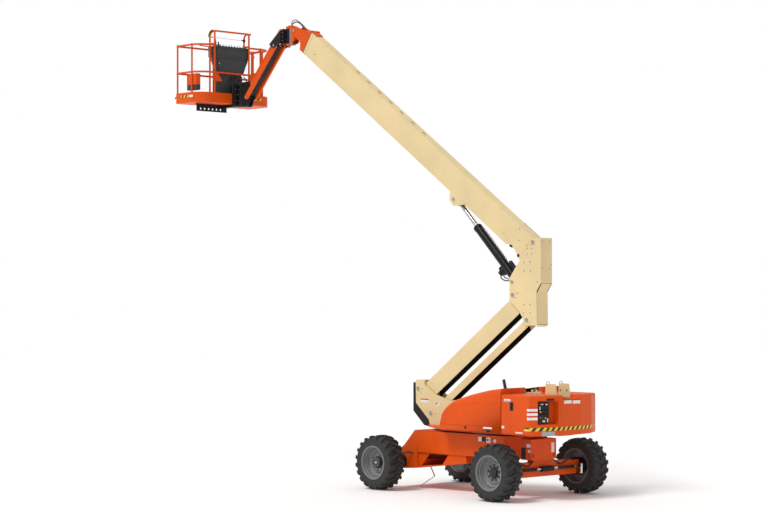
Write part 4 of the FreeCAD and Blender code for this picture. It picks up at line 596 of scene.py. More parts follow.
def gate_detail():
    piece = Piece("gate_frame", "orange", "gate_body")
    for z in (MID_RAIL, TOP_RAIL):
        piece.rod((6.914, RIGHT, z), (7.156, RIGHT, z), 0.0158)
    for x in (6.914, 7.156):
        piece.rod((x, RIGHT, TOE + 0.04), (x, RIGHT, TOP_RAIL), 0.016)
        for z in (MID_RAIL, TOP_RAIL - 0.004):
            piece.lathe((x, RIGHT, z - 0.02), (0, 0, 1),
                        [(0, 0.0162), (0.005, 0.0188), (0.026, 0.0188), (0.031, 0.0162)], 20)
    made = piece.done(0.0015)
    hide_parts("gate")
    latch = Piece("gate_latch", "zinc", "gate_body")
    latch.box((6.884, RIGHT - 0.01, 7.78), (6.934, RIGHT + 0.01, 7.81))
    latch.rod((6.9, RIGHT, 7.8), (6.9, RIGHT, 7.84), 0.006)
    latch.done(0.002)


def toe_boards():
    """Folded lips, tape and blank plates on the toe boards; grating on the floor."""
    lip = Piece("toe_lip", "orange", "platform")
    ring = bent([
        (6.93, -0.9095, TOE), (6.5555, -0.9095, TOE, 0.294), (6.5555, 0.9095, TOE, 0.294),
        (7.3045, 0.9095, TOE, 0.054), (7.3045, -0.9095, TOE, 0.054), (6.93, -0.9095, TOE),
    ], 12)
    lip.tube(ring, 0.0055, 10, 1)
    lip.done()
    boxes("toe_tape", "hazard_x", "platform", [
        ((6.872, 0.915, 7.062), (7.118, 0.9165, 7.106)), ((7.255, 0.915, 7.048), (7.3, 0.9165, 7.092)),
    ])
    boxes("toe_tape_rear", "hazard", "platform", [((6.5485, -0.62, 7.06), (6.55, -0.47, 7.104))])
    boxes("toe_plates", "white", "platform", [
        ((6.745, 0.915, 7.06), (6.85, 0.9166, 7.104)), ((6.5484, -0.455, 7.06), (6.55, -0.335, 7.104)),
    ])
    grate = Piece("floor_grate", "dark_grey", "platform")
    for i in range(20):
        y = -0.84 + i * 0.088
        grate.box((6.87, y, FLOOR + 0.0005), (7.29, y + 0.012, FLOOR + 0.007))
    for i in range(6):
        x = 6.88 + i * 0.08
        grate.box((x, -0.85, FLOOR + 0.0005), (x + 0.006, 0.85, FLOOR + 0.01))
    grate.done()


def console_detail():
    lid = Piece("console_lid", "plastic", "platform")
    lid.prism([(-0.368, 8.03), (-0.352, 8.064), (0.452, 8.064), (0.468, 8.03)], 6.6, 6.858, "YZ")
    lid.prism([(-0.352, 7.905), (-0.352, 8.012), (0.452, 8.012), (0.452, 7.885), (0.4, 7.872), (-0.3, 7.88)],
              6.598, 6.606, "YZ")
    lid.prism([(-0.205, 7.56), (-0.262, 7.7), (-0.318, 7.812), (0.418, 7.805), (0.398, 7.56)], 6.606, 6.617,
              "YZ")
    lid.prism([(-0.11, 7.03), (-0.16, 7.46), (0.392, 7.46), (0.345, 7.03)], 6.606, 6.617, "YZ")
    lid.done(0.008, segments=3)
    knobs = Piece("console_switches", "black", "platform")
    for i in range(11):
        y = -0.3 + i * 0.068
        knobs.rod((6.66, y, 8.062), (6.66, y, 8.078), 0.012, 0.01, 16)
        knobs.rod((6.66, y, 8.078), (6.655 + 0.012 * (i % 3), y, 8.106), 0.0045, 0.0065, 10)
        if i % 2:
            knobs.rod((6.72, y, 8.062), (6.72, y, 8.084), 0.013, 0.011, 16)
    for y in (0.405, 0.33):
        knobs.lathe((6.7, y, 8.062), (0, 0, 1),
                    [(0, 0.04), (0.012, 0.036), (0.02, 0.026), (0.034, 0.022), (0.044, 0.014)], 24)
    knobs.rod((6.7, 0.405, 8.1), (6.7, 0.412, 8.185), 0.011, 0.015)
    knobs.rod((6.7, 0.412, 8.185), (6.7, 0.413, 8.2), 0.018, 0.012)
    knobs.rod((6.7, 0.33, 8.1), (6.7, 0.332, 8.15), 0.01, 0.014)
    knobs.done(0.0015)
    stop = Piece("stop_button", "red", "platform")
    stop.lathe((6.78, -0.27, 8.062), (0, 0, 1),
               [(0, 0.014), (0.018, 0.014), (0.02, 0.024), (0.03, 0.024), (0.034, 0.018)], 24)
    stop.done()
    boxes("console_marks", "white", "platform", [
        ((6.5965, low_y, low_z), (6.6045, high_y, high_z)) for low_y, high_y, low_z, high_z in (
            (-0.262, -0.225, 7.655, 7.668), (0.385, 0.402, 7.72, 7.735), (-0.235, -0.19, 7.52, 7.545),
        )
    ])
    hoses = Piece("console_hoses", "hose", "platform")
    for i, (y, z) in enumerate((
        (-0.04, 7.46), (0.0, 7.48), (0.05, 7.44), (0.1, 7.47), (-0.09, 7.42), (0.15, 7.4), (-0.13, 7.48),
    )):
        sag = 0.015 * (i % 3)
        hoses.tube([
            (6.606, y, z), (6.578 - sag, y - 0.01, z + 0.012), (6.548 - sag, y * 0.9, z - 0.1),
            (6.54 - sag, y * 0.8 + 0.02, 7.25), (6.53, y * 0.7, 7.12 + 0.02 * (i % 2)),
        ], 0.009 + 0.002 * (i % 2), 10)
    hoses.tube([(6.6, -0.2, 7.5), (6.57, -0.245, 7.44), (6.555, -0.2, 7.33), (6.545, -0.1, 7.22)], 0.01, 10)
    hoses.done()


def document_box_detail():
    low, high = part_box("document_box")
    y, foot = high[1], low[2] - 0.001
    boxes("document_face", "orange", "platform", [
        ((low[0] + 0.004, y - 0.004, low[2] + 0.105), (high[0] - 0.022, y + 0.003, high[2] - 0.004)),
    ], 0.003)
    boxes("document_lower", "plastic", "platform", [
        ((low[0] - 0.001, low[1] - 0.001, foot), (high[0] - 0.018, y + 0.0025, low[2] + 0.1)),
        ((high[0] - 0.02, low[1] - 0.001, foot), (high[0] + 0.001, y + 0.0045, high[2] - 0.02)),
    ], 0.003)


def under_bar_detail():
    bolts = Piece("support_bolts", "zinc", "platform")
    for y in (-0.09, -0.03, 0.03, 0.09):
        for z in (7.02, 7.14, 7.24):
            bolts.bolt((6.474, y, z), (-1, 0, 0), 0.01, 0.008)
    bolts.done()
    boxes("support_detail", "black", "platform", [
        ((6.455, -0.105, 6.95), (6.474, 0.105, 6.99)), ((6.455, -0.105, 7.255), (6.474, 0.105, 7.29)),
        ((6.458, -0.112, 7.06), (6.474, -0.096, 7.22)), ((6.458, 0.096, 7.06), (6.474, 0.112, 7.22)),
    ], 0.003)


guard_rails()
gate_detail()
toe_boards()
console_detail()
document_box_detail()
under_bar_detail()

# ---- turntable

PLAN = [
    (-1.206, 0.75), (-1.7, 0.795), (-1.875, 0.8), (-2.000, 0.56), (-2.055, 0.25), (-2.055, -0.25),
    (-2.000, -0.56), (-1.875, -0.8), (-1.7, -0.795), (-1.206, -0.75),
]
RUNS = [(a, b, math.dist(a, b)) for a, b in zip(PLAN, PLAN[1:])]
HOOD_Y, HOOD_REAR, HOOD_FOOT = 0.7495, -1.1995, 1.0716
# half width of the black sheets painted as shade inside the tower's links
SHADE_SHEET_HALF = 0.0815


def walked_to(place):
    """Distance along the weight's outline to X on its near side or, for a place over -1, to Y on its rear."""
    walked = 0.0
    for (ax, ay), (bx, by), run in RUNS:
        if place < -1 and bx <= place <= ax and by > 0.56:
            return walked + run * (ax - place) / (ax - bx)
        if place > -1 and by <= place <= ay and ax < -1.8:
            return walked + run * (ay - place) / (ay - by)
        walked += run
    raise ValueError(place)


def strip(piece, first, last, low, high, depth=0.0016):
    """A plate bent round the weight between two places on its outline."""
    start, end = walked_to(first), walked_to(last)
    spots, walked = [], 0.0
    for (ax, ay), (bx, by), run in RUNS:
        out_x, out_y = (by - ay) / run, (ax - bx) / run
        for cut in (start, end):
            if walked < cut < walked + run:
                part = (cut - walked) / run
                spots.append((cut, ax + (bx - ax) * part, ay + (by - ay) * part, out_x, out_y))
        if start < walked < end:
            spots.append((walked, ax, ay, out_x, out_y))
        walked += run
    spots.sort(key=lambda spot: spot[0])
    piece.faces([
        [(x + reach * out_x, y + reach * out_y, z)
         for reach, z in ((-0.001, low), (depth, low), (depth, high), (-0.001, high))]
        for _, x, y, out_x, out_y in spots
    ])


def weight_strips(name, look, strips, bevel=0.0):
    piece = Piece(name, look, "turntable")
    for numbers in strips:
        strip(piece, *numbers)
    piece.done(bevel)


def hood_shell(side, mark):
    """Moulded cover with a rounded shoulder along its outer edge, its hinge and its small marks."""
    profile = smooth([
        (0.296, 0, HOOD_FOOT), (0.292, 0, 1.1), (0.262, 0, 1.15), (0.222, 0, 1.27), (0.15, 0, 1.395),
        (0.03, 0, 1.492), (-0.122, 0, 1.568), (-0.3, 0, 1.618), (-0.47, 0, 1.664), (-0.69, 0, 1.712),
        (-0.9, 0, 1.754), (-1.05, 0, 1.774), (HOOD_REAR, 0, 1.794),
    ], 4)
    last = len(profile) - 1
    normals = []
    for i in range(last + 1):
        ahead = profile[min(i + 1, last)] - profile[max(i - 1, 0)]
        normals.append(Vector((ahead.z, 0, -ahead.x)).normalized())
    shoulder, steps = 0.085, 8
    turns = [math.pi / 2 * i / steps for i in range(steps + 1)]
    sections = [(0.163, 0.0), (0.3, 0.0)]
    sections += [(HOOD_Y - shoulder + shoulder * math.sin(t), shoulder * (1 - math.cos(t))) for t in turns]
    piece = Piece("hood_shell_" + side, "orange", side + "_hood")
    rows = []
    for y, inset in sections:
        inward = [point - normal * inset for point, normal in zip(profile, normals)]
        rows.append([
            piece.corner((HOOD_REAR if i == last else point.x, mark * y,
                          HOOD_FOOT if i == 0 else max(HOOD_FOOT, point.z)))
            for i, point in enumerate(inward)
        ])
    for first, second in zip(rows, rows[1:]):
        for i in range(last):
            piece.mesh.faces.new((first[i], first[i + 1], second[i + 1], second[i]))
    foot = piece.corner((HOOD_REAR, mark * HOOD_Y, HOOD_FOOT))
    inner_foot = piece.corner((HOOD_REAR, mark * 0.163, HOOD_FOOT))
    piece.mesh.faces.new(rows[-1] + [foot])
    piece.mesh.faces.new([row[-1] for row in rows] + [foot, inner_foot])
    made = piece.done(smooth_angle=35)
    wall = made.modifiers.new("wall", "SOLIDIFY")
    wall.thickness = 0.006
    wall.offset = -1
    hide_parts("hood_" + side)
    hinge_y = mark * 0.175
    leaf = Piece("hood_hinge_" + side, "steel", side + "_hood")
    leaf.rod((-1.188, hinge_y, 1.728), (-1.052, hinge_y, 1.728), 0.0098)
    leaf.box((-1.14, hinge_y - 0.006, 1.728), (-1.1, hinge_y + 0.006, 1.778))
    leaf.done(0.001)
    crease = Piece("hood_crease_" + side, "orange", side + "_hood")
    crease.tube([(x, mark * 0.7478, z) for x, z in (
        (0.165, 1.3), (0.11, 1.352), (0.024, 1.412), (-0.166, 1.482), (-0.434, 1.519), (-0.75, 1.54),
        (-1.064, 1.556), (-1.192, 1.56),
    )], 0.0045, 10)
    crease.done()
    groove_shade_and_marks = Piece("hood_groove_shade_and_marks_" + side, "black", side + "_hood")
    # painted shade: the thin black strip stands for the shade in the moulded groove; the ring is the hood's
    # black lock
    groove_shade_and_marks.box((-1.196, mark * 0.7488, 1.158), (0.196, mark * 0.75, 1.1612))
    groove_shade_and_marks.lathe((-0.399, mark * 0.7485, 1.126), (0, mark, 0), [(0, 0.026), (0.0012, 0.026), (0.0014, 0.022)],
               28)
    groove_shade_and_marks.box((-0.974, mark * 0.748, 1.0725), (-0.882, mark * 0.7498, 1.112))
    groove_shade_and_marks.done()
    label = Piece("hood_label_" + side, "white", side + "_hood")
    label.box((-1.007, mark * 0.749, 1.126), (-0.809, mark * 0.75, 1.1555))
    label.done()


def turntable_detail():
    """Plates, marks and tape round the weight, the ground panel's marks, and the guides' bolts and hooks."""
    panel_x = -1.939
    side_rows = [(-1.834, 0.668, *heights) for heights in ((1.312, 1.374), (1.382, 1.444), (1.452, 1.512))]
    rear_rows = [(0.166, -0.013, 1.56, 1.632), (-0.041, -0.221, 1.554, 1.626)]
    tops = [(first, last, high - tall, high + 0.001, 0.002)
            for rows, tall in ((side_rows, 0.018), (rear_rows, 0.02)) for first, last, _, high in rows]
    weight_strips("weight_plates", "white", side_rows + rear_rows + [
        (-1.567, -1.731, 1.089, 1.112), (-1.288, -1.447, 1.587, 1.63), (-1.229, -1.293, 1.152, 1.195),
    ])
    weight_strips("weight_plate_tops", "red", tops + [(-1.46, -1.48, 1.176, 1.196)])
    weight_strips("weight_marks", "black", [(-1.3, -1.44, 1.594, 1.604, 0.002), (0.524, 0.375, 1.619, 1.652)])
    weight_strips("weight_tape", "hazard", [(-1.766, -0.704, 1.135, 1.19)])
    weight_strips("weight_grey_plate", "steel", [(0.605, 0.361, 1.054, 1.122)])
    weight_strips("weight_latch", "gloss_black",
                  [(-1.432, -1.508, 1.45, 1.584, 0.006), (-1.455, -1.486, 1.47, 1.56, 0.014)], 0.003)
    panel = Piece("panel_marks", "white", "turntable")
    for y, z, width, height in (
        (0.455, 1.555, 0.05, 0.02), (0.56, 1.56, 0.06, 0.016), (0.61, 1.5, 0.02, 0.05),
        (0.43, 1.3, 0.03, 0.06), (0.52, 1.29, 0.06, 0.03),
    ):
        panel.box((-1.9415, y - width / 2, z - height / 2), (panel_x, y + width / 2, z + height / 2))
    panel.done()
    for look, spots in (("yellow", ((0.6, 1.44), (0.48, 1.34))), ("red", ((0.56, 1.345),)),
                        ("green", ((0.61, 1.35),))):
        dots = Piece("panel_" + look, look, "turntable")
        for y, z in spots:
            dots.rod((panel_x, y, z), (-1.946, y, z), 0.014, 0.012)
        dots.done()
    guides = Piece("guide_bolts", "zinc", "turntable")
    hooks = Piece("guide_hooks", "cream", "turntable")
    for mark in (1, -1):
        for x in (-1.69, -1.83):
            guides.bolt((x, mark * 0.1475, 1.76), (0, -mark, 0), 0.012, 0.008)
        hooks.tube(bent([(-1.665, mark * 0.158, 1.855), (-1.665, mark * 0.158, 1.905, 0.02),
                         (-1.725, mark * 0.158, 1.905, 0.02), (-1.725, mark * 0.158, 1.855)]), 0.008, 12, 1)
    guides.done()
    hooks.done()


def base_detail():
    """Pin ends with keeper plates, blank plates and the cover's fasteners on the tower's base."""
    side_y, plate_y, mark_y = 0.1325, 0.1345, 0.135
    for mark, side in SIDES:
        pins = Piece("base_pins_" + side, "steel", "turntable")
        for x, z in ((1.37, 1.686), (1.054, 1.276)):
            pins.pin_end((x, mark * 0.1425, z), mark, 0.034)
        for x, z in ((1.32, 1.632), (1.262, 1.684), (0.999, 1.226), (0.942, 1.264)):
            pins.bolt((x, mark * 0.133, z), (0, mark, 0), 0.008, 0.007)
        pins.done(0.001)
        keep = Piece("base_keepers_" + side, "cream", "turntable")
        for x, z in ((1.345, 1.657), (1.029, 1.247)):
            keep.at = basis(x, 0, z, 40)
            keep.box((-0.075, mark * side_y, -0.02), (-0.015, mark * 0.137, 0.02))
        keep.done(0.001)
    boxes("base_plates", "white", "turntable", [
        ((1.108, side_y, 1.448), (1.308, plate_y, 1.512)), ((0.839, side_y, 1.405), (0.939, plate_y, 1.456)),
    ])
    boxes("base_plate_tops", "red", "turntable", [
        ((1.108, 0.133, 1.494), (1.308, mark_y, 1.513)), ((0.87, 0.133, 1.442), (0.905, mark_y, 1.457)),
    ])
    boxes("base_plate_marks", "black", "turntable", [((0.908, 0.133, 1.425), (0.936, mark_y, 1.45))])
    boxes("base_cap", "cream", "turntable", [
        ((1.24, -0.132, 1.8275), (1.43, 0.132, 1.833)), ((1.15, -0.09, 1.77), (1.24, 0.09, 1.779)),
    ], 0.002)
    ends = Piece("cover_bolts", "zinc", "turntable")
    for y in (-0.1, 0.1):
        for z in (1.35, 1.55, 1.74):
            ends.bolt((1.492, y, z), (1, 0, 0), 0.009, 0.006)
    ends.done()


for hood_mark, hood_side in SIDES:
    hood_shell(hood_side, hood_mark)
turntable_detail()
base_detail()

# ---- chassis


def chassis_detail():
    """Dark grey lines along the side walls' top and nose edges, blank plates, the swing bearing's bolts and
    the tie-down lugs.
    """
    wall_y, plate_y, beam_y, beam_plate_y = 0.4995, 0.5018, 0.3045, 0.3068
    edge = Piece("chassis_dark_edge_lines", "dark_grey", "chassis")
    for mark in (1, -1):
        inside, outside = mark * 0.4994, mark * 0.5012
        edge.box((-1.045, inside, 0.996), (1.066, outside, 0.9995))
        edge.prism([(1.062, 0.9995), (1.067, 0.9995), (1.497, 0.561), (1.492, 0.561)], inside, outside)
    edge.done()
    plates = Piece("chassis_plates", "white", "chassis")
    plates.box((-0.73, wall_y, 0.877), (-0.64, plate_y, 0.965))
    plates.box((-0.532, wall_y, 0.889), (-0.454, plate_y, 0.964))
    plates.lathe((-0.835, wall_y, 0.912), (0, 1, 0), [(0, 0.03), (0.0022, 0.03)], 28)
    plates.box((-1.457, -0.254, 0.727), (-1.4545, -0.184, 0.889))
    plates.box((-1.448, beam_y, 0.828), (-1.36, beam_plate_y, 0.886))
    plates.box((-1.448, beam_y, 0.745), (-1.39, beam_plate_y, 0.788))
    plates.done()
    boxes("chassis_marks", "black", "chassis", [
        ((-0.625, wall_y, 0.889), (-0.536, plate_y, 0.964)), ((-1.34, beam_y, 0.64), (-1.21, 0.3075, 0.82)),
        ((-0.69, wall_y, 0.905), (-0.655, 0.5024, 0.94)),
    ], 0.001)
    ring = Piece("bearing_bolts", "zinc", "chassis")
    for x, y in circle(0.478, 36):
        ring.bolt((-0.45 + x, y, 1.0005), (0, 0, 1), 0.011, 0.012)
    ring.done()
    lugs = Piece("tie_down_lugs", "orange", "chassis")
    for mark in (1, -1):
        for x, y, z in ((1.52, 0.44, 0.52), (-1.44, 0.25, 0.69)):
            lugs.lathe((x, mark * y - 0.011, z), (0, 1, 0),
                       [(0, 0.036), (0.022, 0.036), (0.022, 0.018), (0, 0.018), (0, 0.036)], 28)
    lugs.done(0.002)


def axle_detail():
    arms = Piece("axle_hoses", "hose", "chassis")
    bolts = Piece("axle_bolts", "zinc", "chassis")
    for mark in (1, -1):
        arms.tube([(-1.3, mark * 0.2, 0.62), (-1.44, mark * 0.26, 0.6), (-1.475, mark * 0.4, 0.53),
                   (-1.47, mark * 0.6, 0.6), (-1.45, mark * 0.74, 0.565)], 0.011, 10)
        arms.tube([(1.02, mark * 0.4, 0.56), (1.16, mark * 0.56, 0.62), (1.28, mark * 0.66, 0.57)], 0.012, 10)
        for x in (-1.4075, -1.3275):
            for z in (0.4, 0.52):
                bolts.bolt((x, mark * 0.788, z), (0, mark, 0), 0.01, 0.008)
        for x, z in circle(0.098, 10):
            bolts.bolt((AXLE_X + x, mark * 0.89, AXLE_Z + z), (0, mark, 0), 0.009, 0.007)
    arms.done()
    bolts.done()


chassis_detail()
axle_detail()

# ---- tower and upright


def link_shade_sheets():
    """Painted shade: black sheets inside the two links stand for their shadowed insides, open along their
    undersides.
    """
    for name, body, frame_at, side_heights, top_heights in (
        ("upper_link_painted_shade", "upper_link", LINK, (-0.3125, -0.03), (-0.0225, -0.0205)),
        ("lower_link_painted_shade", "lower_link", LOWER, (-0.0825, 0.025), (0.029, 0.0315)),
    ):
        # black sheets: painted shade for the links' shadowed insides
        shade_sheet = Piece(name, "black", body, frame_at)
        for mark in (1, -1):
            shade_sheet.box((-2.6, mark * SHADE_SHEET_HALF, side_heights[0]), (-0.17, mark * 0.083, side_heights[1]))
        shade_sheet.box((-2.6, -0.082, top_heights[0]), (-0.17, 0.082, top_heights[1]))
        shade_sheet.done()
    lines = Piece("link_hoses", "hose", "upper_link", LINK)
    for y in (-0.06, 0.058, 0.068):
        lines.tube([(-2.62, y, -0.06), (-2.0, y, -0.05), (-1.2, y, -0.055), (-0.4, y, -0.052)], 0.01, 8)
    lines.done()


def upright_detail():
    for mark, side in SIDES:
        pins = Piece("upright_pins_" + side, "steel", "upright_body")
        for x, z, radius in ((-1.343, 4.17, 0.036), (-0.873, 3.521, 0.028), (-0.885, 3.306, 0.034),
                             (-1.201, 2.896, 0.034)):
            pins.pin_end((x, mark * 0.1415, z), mark, radius)
        for x, z in (
            (-1.207, 4.119), (-1.217, 4.068), (-1.31, 4.066), (-1.214, 3.978), (-1.317, 3.977),
            (-1.14, 3.845), (-1.278, 3.844), (-1.14, 3.704), (-1.285, 3.703), (-1.438, 3.522),
            (-1.133, 3.148), (-1.275, 3.149), (-1.133, 3.011), (-1.281, 3.013), (-1.262, 2.868),
            (-0.945, 3.262), (-0.99, 3.335),
        ):
            pins.bolt((x, mark * 0.1338, z), (0, mark, 0), 0.0085, 0.006)
        pins.done(0.001)
        keep = Piece("upright_keepers_" + side, "cream", "upright_body")
        for x, z, turn in ((-0.885, 3.306, 145), (-1.201, 2.896, 205), (-1.343, 4.17, -25)):
            keep.at = basis(x, 0, z, turn)
            keep.box((0.03, mark * 0.1335, -0.018), (0.085, mark * 0.1385, 0.018))
        keep.done(0.001)
    rear = Piece("upright_rear_bolts", "zinc", "upright_body")
    for y, z, radius, height in (
        (0.097, 4.18, 0.009, 0.006), (0.097, 3.74, 0.009, 0.006), (-0.084, 4.18, 0.009, 0.006),
        (-0.084, 3.74, 0.009, 0.006), (-0.106, 3.799, 0.008, 0.005),
    ):
        rear.bolt((-1.518, y, z), (-1, 0, 0), radius, height)
    rear.done()
    step = Piece("upright_step_pad", "black", "upright_body")
    step.prism([(-1.5195, 3.494), (-1.5165, 3.498), (-1.4245, 3.362), (-1.4275, 3.358)], -0.1325, 0.1325)
    step.done()
    loops = Piece("upright_hose_loops", "cream", "upright_body")
    for y in (0.075, 0.0, -0.075):
        loops.tube(bent([
            (-1.421, y - 0.028, 2.825), (-1.421, y - 0.028, 2.79, 0.012), (-1.421, y + 0.028, 2.79, 0.012),
            (-1.421, y + 0.028, 2.825),
        ]), 0.006, 10, 1)
    loops.box((-1.43, -0.132, 2.818), (-1.413, 0.132, 2.826))
    loops.done()


link_shade_sheets()
upright_detail()

# ---- boom, head and lift cylinder


def steering_detail():
    """Dark sleeves on the steering rod either side of its barrel."""
    x, z = -1.5275, 0.477
    sleeves = Piece("steering_sleeves", "black", "steering_rod_body")
    for low, high in ((0.25, 0.62), (-0.64, -0.25)):
        sleeves.rod((x, low, z), (x, high, z), 0.027)
    sleeves.done(0.002)
    ends = Piece("steering_ends", "zinc", "steering_rod_body")
    for mark in (1, -1):
        ends.rod((x, mark * 0.64, z), (x, mark * 0.7, z), 0.03, sides=6)
        ends.bolt((x, mark * 0.8445, 0.5072), (0, 0, 1), 0.016, 0.012)
    ends.done()


def boom_detail():
    # the dark grey ovals are painted shade standing for the shadowed insides of the slots in the boom's top;
    # cream rims go round them
    slots = Piece("boom_slot_shade_ovals", "dark_grey", "boom", BOOM)
    rims = Piece("boom_slot_rims", "cream", "boom", BOOM)
    for i in range(7):
        x = 5.41 - 0.3467 * i
        for piece, reach, half, high in ((rims, 0.052, 0.02, 0.0425), (slots, 0.04, 0.01, 0.0431)):
            outline = [
                (x + reach * mark + half * math.cos(t), half * math.sin(t))
                for mark,
                start in ((1, -90), (-1, 90)) for t in (math.radians(start + 22.5 * k) for k in range(9))
            ]
            piece.prism(outline, 0.0395, high, "XY")
    slots.done()
    rims.done(0.001)
    bolts = Piece("boom_bolts", "zinc", "boom", BOOM)
    pins = Piece("boom_lug_pins", "steel", "boom", BOOM)
    heel = Piece("boom_heel", "dark_grey", "boom", BOOM)
    for mark in (1, -1):
        for x, z, radius in (
            (0.407, -0.004, 0.008), (0.66, -0.275, 0.008), (0.311, -0.17, 0.008), (6.54, -0.241, 0.011),
            (6.8, -0.052, 0.008), (6.795, -0.3, 0.008),
        ):
            bolts.bolt((x, mark * 0.093, z), (0, mark, 0), radius, 0.007)
        pins.lathe((1.98, mark * 0.0978, -0.45), (0, mark, 0), [(0, 0.03), (0.006, 0.03), (0.009, 0.026)], 32)
        pins.bolt((1.925, mark * 0.098, -0.474), (0, mark, 0), 0.008, 0.006)
        heel.lathe((0.182, mark * 0.0925, -0.385), (0, mark, 0), [(0, 0.03), (0.0012, 0.03)], 28)
    bolts.done()
    pins.done(0.001)
    heel.box((0.43, -0.05, -0.392), (0.485, 0.05, -0.372))
    heel.done()
    boxes("boom_rear_cap", "dark_grey", "boom", [((0.02, -0.0925, 0.0385), (0.52, -0.086, 0.0425))], at=BOOM)
    boxes("boom_nose_ring", "cream", "boom", [
        ((6.77, low_y, low_z), (6.834, high_y, high_z)) for low_y, high_y, low_z, high_z in (
            (0.093, 0.0975, -0.375, 0.038), (-0.0975, -0.093, -0.375, 0.038),
            (-0.0975, 0.0975, 0.0398, 0.0445), (-0.0975, 0.0975, -0.3895, -0.3852),
        )
    ], 0.001, BOOM)


def lift_detail():
    rings = Piece("lift_rings", "gloss_black", "lift_barrel", LIFT)
    rings.lathe((1.27, 0, 0), (1, 0, 0),
                [(0, 0.0722), (0.004, 0.078), (0.046, 0.078), (0.056, 0.066), (0.056, 0.039)], 48)
    rings.lathe((0.075, 0, 0), (1, 0, 0), [(0, 0.07), (0.006, 0.077), (0.03, 0.077), (0.036, 0.0722)], 48)
    rings.lathe((0.25, 0, 0.12), (1, 0, 0), [(-0.11, 0.026), (-0.104, 0.034), (0.104, 0.034), (0.11, 0.026)],
                28)
    rings.done(0.002)
    port = Piece("lift_port", "gloss_black", "lift_barrel", LIFT)
    port.lathe((0.37, 0, -0.07), (0, 0, -1), [
        (0, 0.05), (0.03, 0.05), (0.034, 0.044), (0.07, 0.044), (0.074, 0.052), (0.106, 0.052), (0.11, 0.044),
    ], 28)
    port.box((0.3, -0.045, -0.115), (0.44, 0.045, -0.068))
    port.done(0.003)
    tube = Piece("lift_tube_line", "chrome", "lift_barrel", LIFT)
    tube.tube([(0.3, 0, -0.15), (0.27, 0, -0.158), (0.225, 0, -0.14), (0.185, 0, -0.112), (0.12, 0, -0.088)],
              0.013, 12)
    tube.tube([(1.23, 0, 0.074), (1.19, 0, 0.098), (0.9, 0, 0.098), (0.46, 0, 0.098), (0.36, 0, 0.118)],
              0.008, 10)
    tube.done()
    line = Piece("lift_hose", "hose", "lift_barrel", LIFT)
    line.tube([(0.35, 0.02, -0.17), (0.3, 0.02, -0.205), (0.22, 0.02, -0.18), (0.15, 0.02, -0.12),
               (0.075, 0.02, -0.062)], 0.01, 10)
    line.done()
    wiper = Piece("lift_rod_collar", "black", "lift_rod", LIFT)
    wiper.lathe((1.878, 0, 0), (1, 0, 0), [(0, 0.0385), (0.004, 0.052), (0.06, 0.058), (0.066, 0.05)], 36)
    wiper.done(0.002)


def head_detail():
    bolts = Piece("head_bolts", "zinc", "fly", BOOM)
    for mark in (1, -1):
        for x, z in ((6.9, -0.33), (6.9, 0.02), (7.02, -0.25)):
            bolts.bolt((x, mark * 0.104, z), (0, mark, 0), 0.009, 0.007)
        bolts.lathe((7.2865, mark * 0.1115, -0.1694), (0, mark, 0),
                    [(0, 0.026), (0.006, 0.026), (0.008, 0.022)], 32)
    bolts.done(0.001)
    boxes("head_edges", "orange", "fly",
          [((6.839, mark * 0.08, -0.378), (6.849, mark * 0.1055, 0.066)) for mark in (1, -1)], 0.002, BOOM)


def bracket_detail():
    nut = Piece("swing_pin_nut", "steel", "bracket")
    for low, high, radius, sides in ((7.936, 7.925, 0.03, 6), (7.925, 7.912, 0.02, 24),
                                     (8.3175, 8.324, 0.03, 6)):
        nut.rod((4.99, 0, low), (4.99, 0, high), radius, sides=sides)
    nut.done(0.001)
    boxes("bracket_bearing", "steel", "bracket", [((4.8515, -0.0475, 7.955), (4.925, 0.0475, 8.262))], 0.003)
    arm = Piece("level_rod", "black", "bracket")
    arm.rod((4.8, 0.0, 7.995), (4.66, 0.0, 8.045), 0.022)
    arm.rod((4.8, -0.04, 7.995), (4.8, 0.04, 7.995), 0.03)
    arm.done(0.002)
    ferrules = Piece("hose_ferrules", "zinc", "bracket")
    near, far = Vector((4.881, 0.028, 8.321)), Vector((4.958, -0.028, 8.33))
    slope = Vector((-20, 0, 18)).normalized()
    ferrules.rod(near - slope * 0.002, near + slope * 0.024, 0.0135)
    ferrules.rod(far - Vector((0, 0, 0.002)), far + Vector((0, 0, 0.022)), 0.0105)
    ferrules.rod((4.522, 0.028, 8.119), (4.522, 0.028, 8.145), 0.0135)
    ferrules.rod((4.484, -0.028, 8.119), (4.484, -0.028, 8.142), 0.0105)
    ferrules.done(0.001)


steering_detail()
boom_detail()
lift_detail()
head_detail()
bracket_detail()

# ---- jib


def rotator_detail():
    block = Piece("rotator_covers", "black", "rotator")
    block.box((5.045, -0.103, 8.02), (5.098, 0.103, 8.215))
    for y in (-0.065, 0.0, 0.065):
        block.rod((5.072, y, 8.256), (5.072, y, 8.272), 0.016, 0.013, 20)
    block.done(0.004)
    bolts = Piece("rotator_bolts", "zinc", "rotator")
    for mark in (1, -1):
        for z in (8.05, 8.12, 8.19):
            bolts.bolt((5.072, mark * 0.103, z), (0, mark, 0), 0.008, 0.006)
        jib_pin_ends(bolts, mark, (5.164, 0.0835, 8.23), (5.275, 0.1475, 7.971))
    bolts.done(0.001)


def jib_pin_ends(piece, mark, upper, lower):
    for (x, y, z), radius in ((upper, 0.024), (lower, 0.022)):
        piece.lathe((x, mark * y, z), (0, mark, 0), [(0, radius), (0.005, radius), (0.007, radius - 0.004)],
                    28)


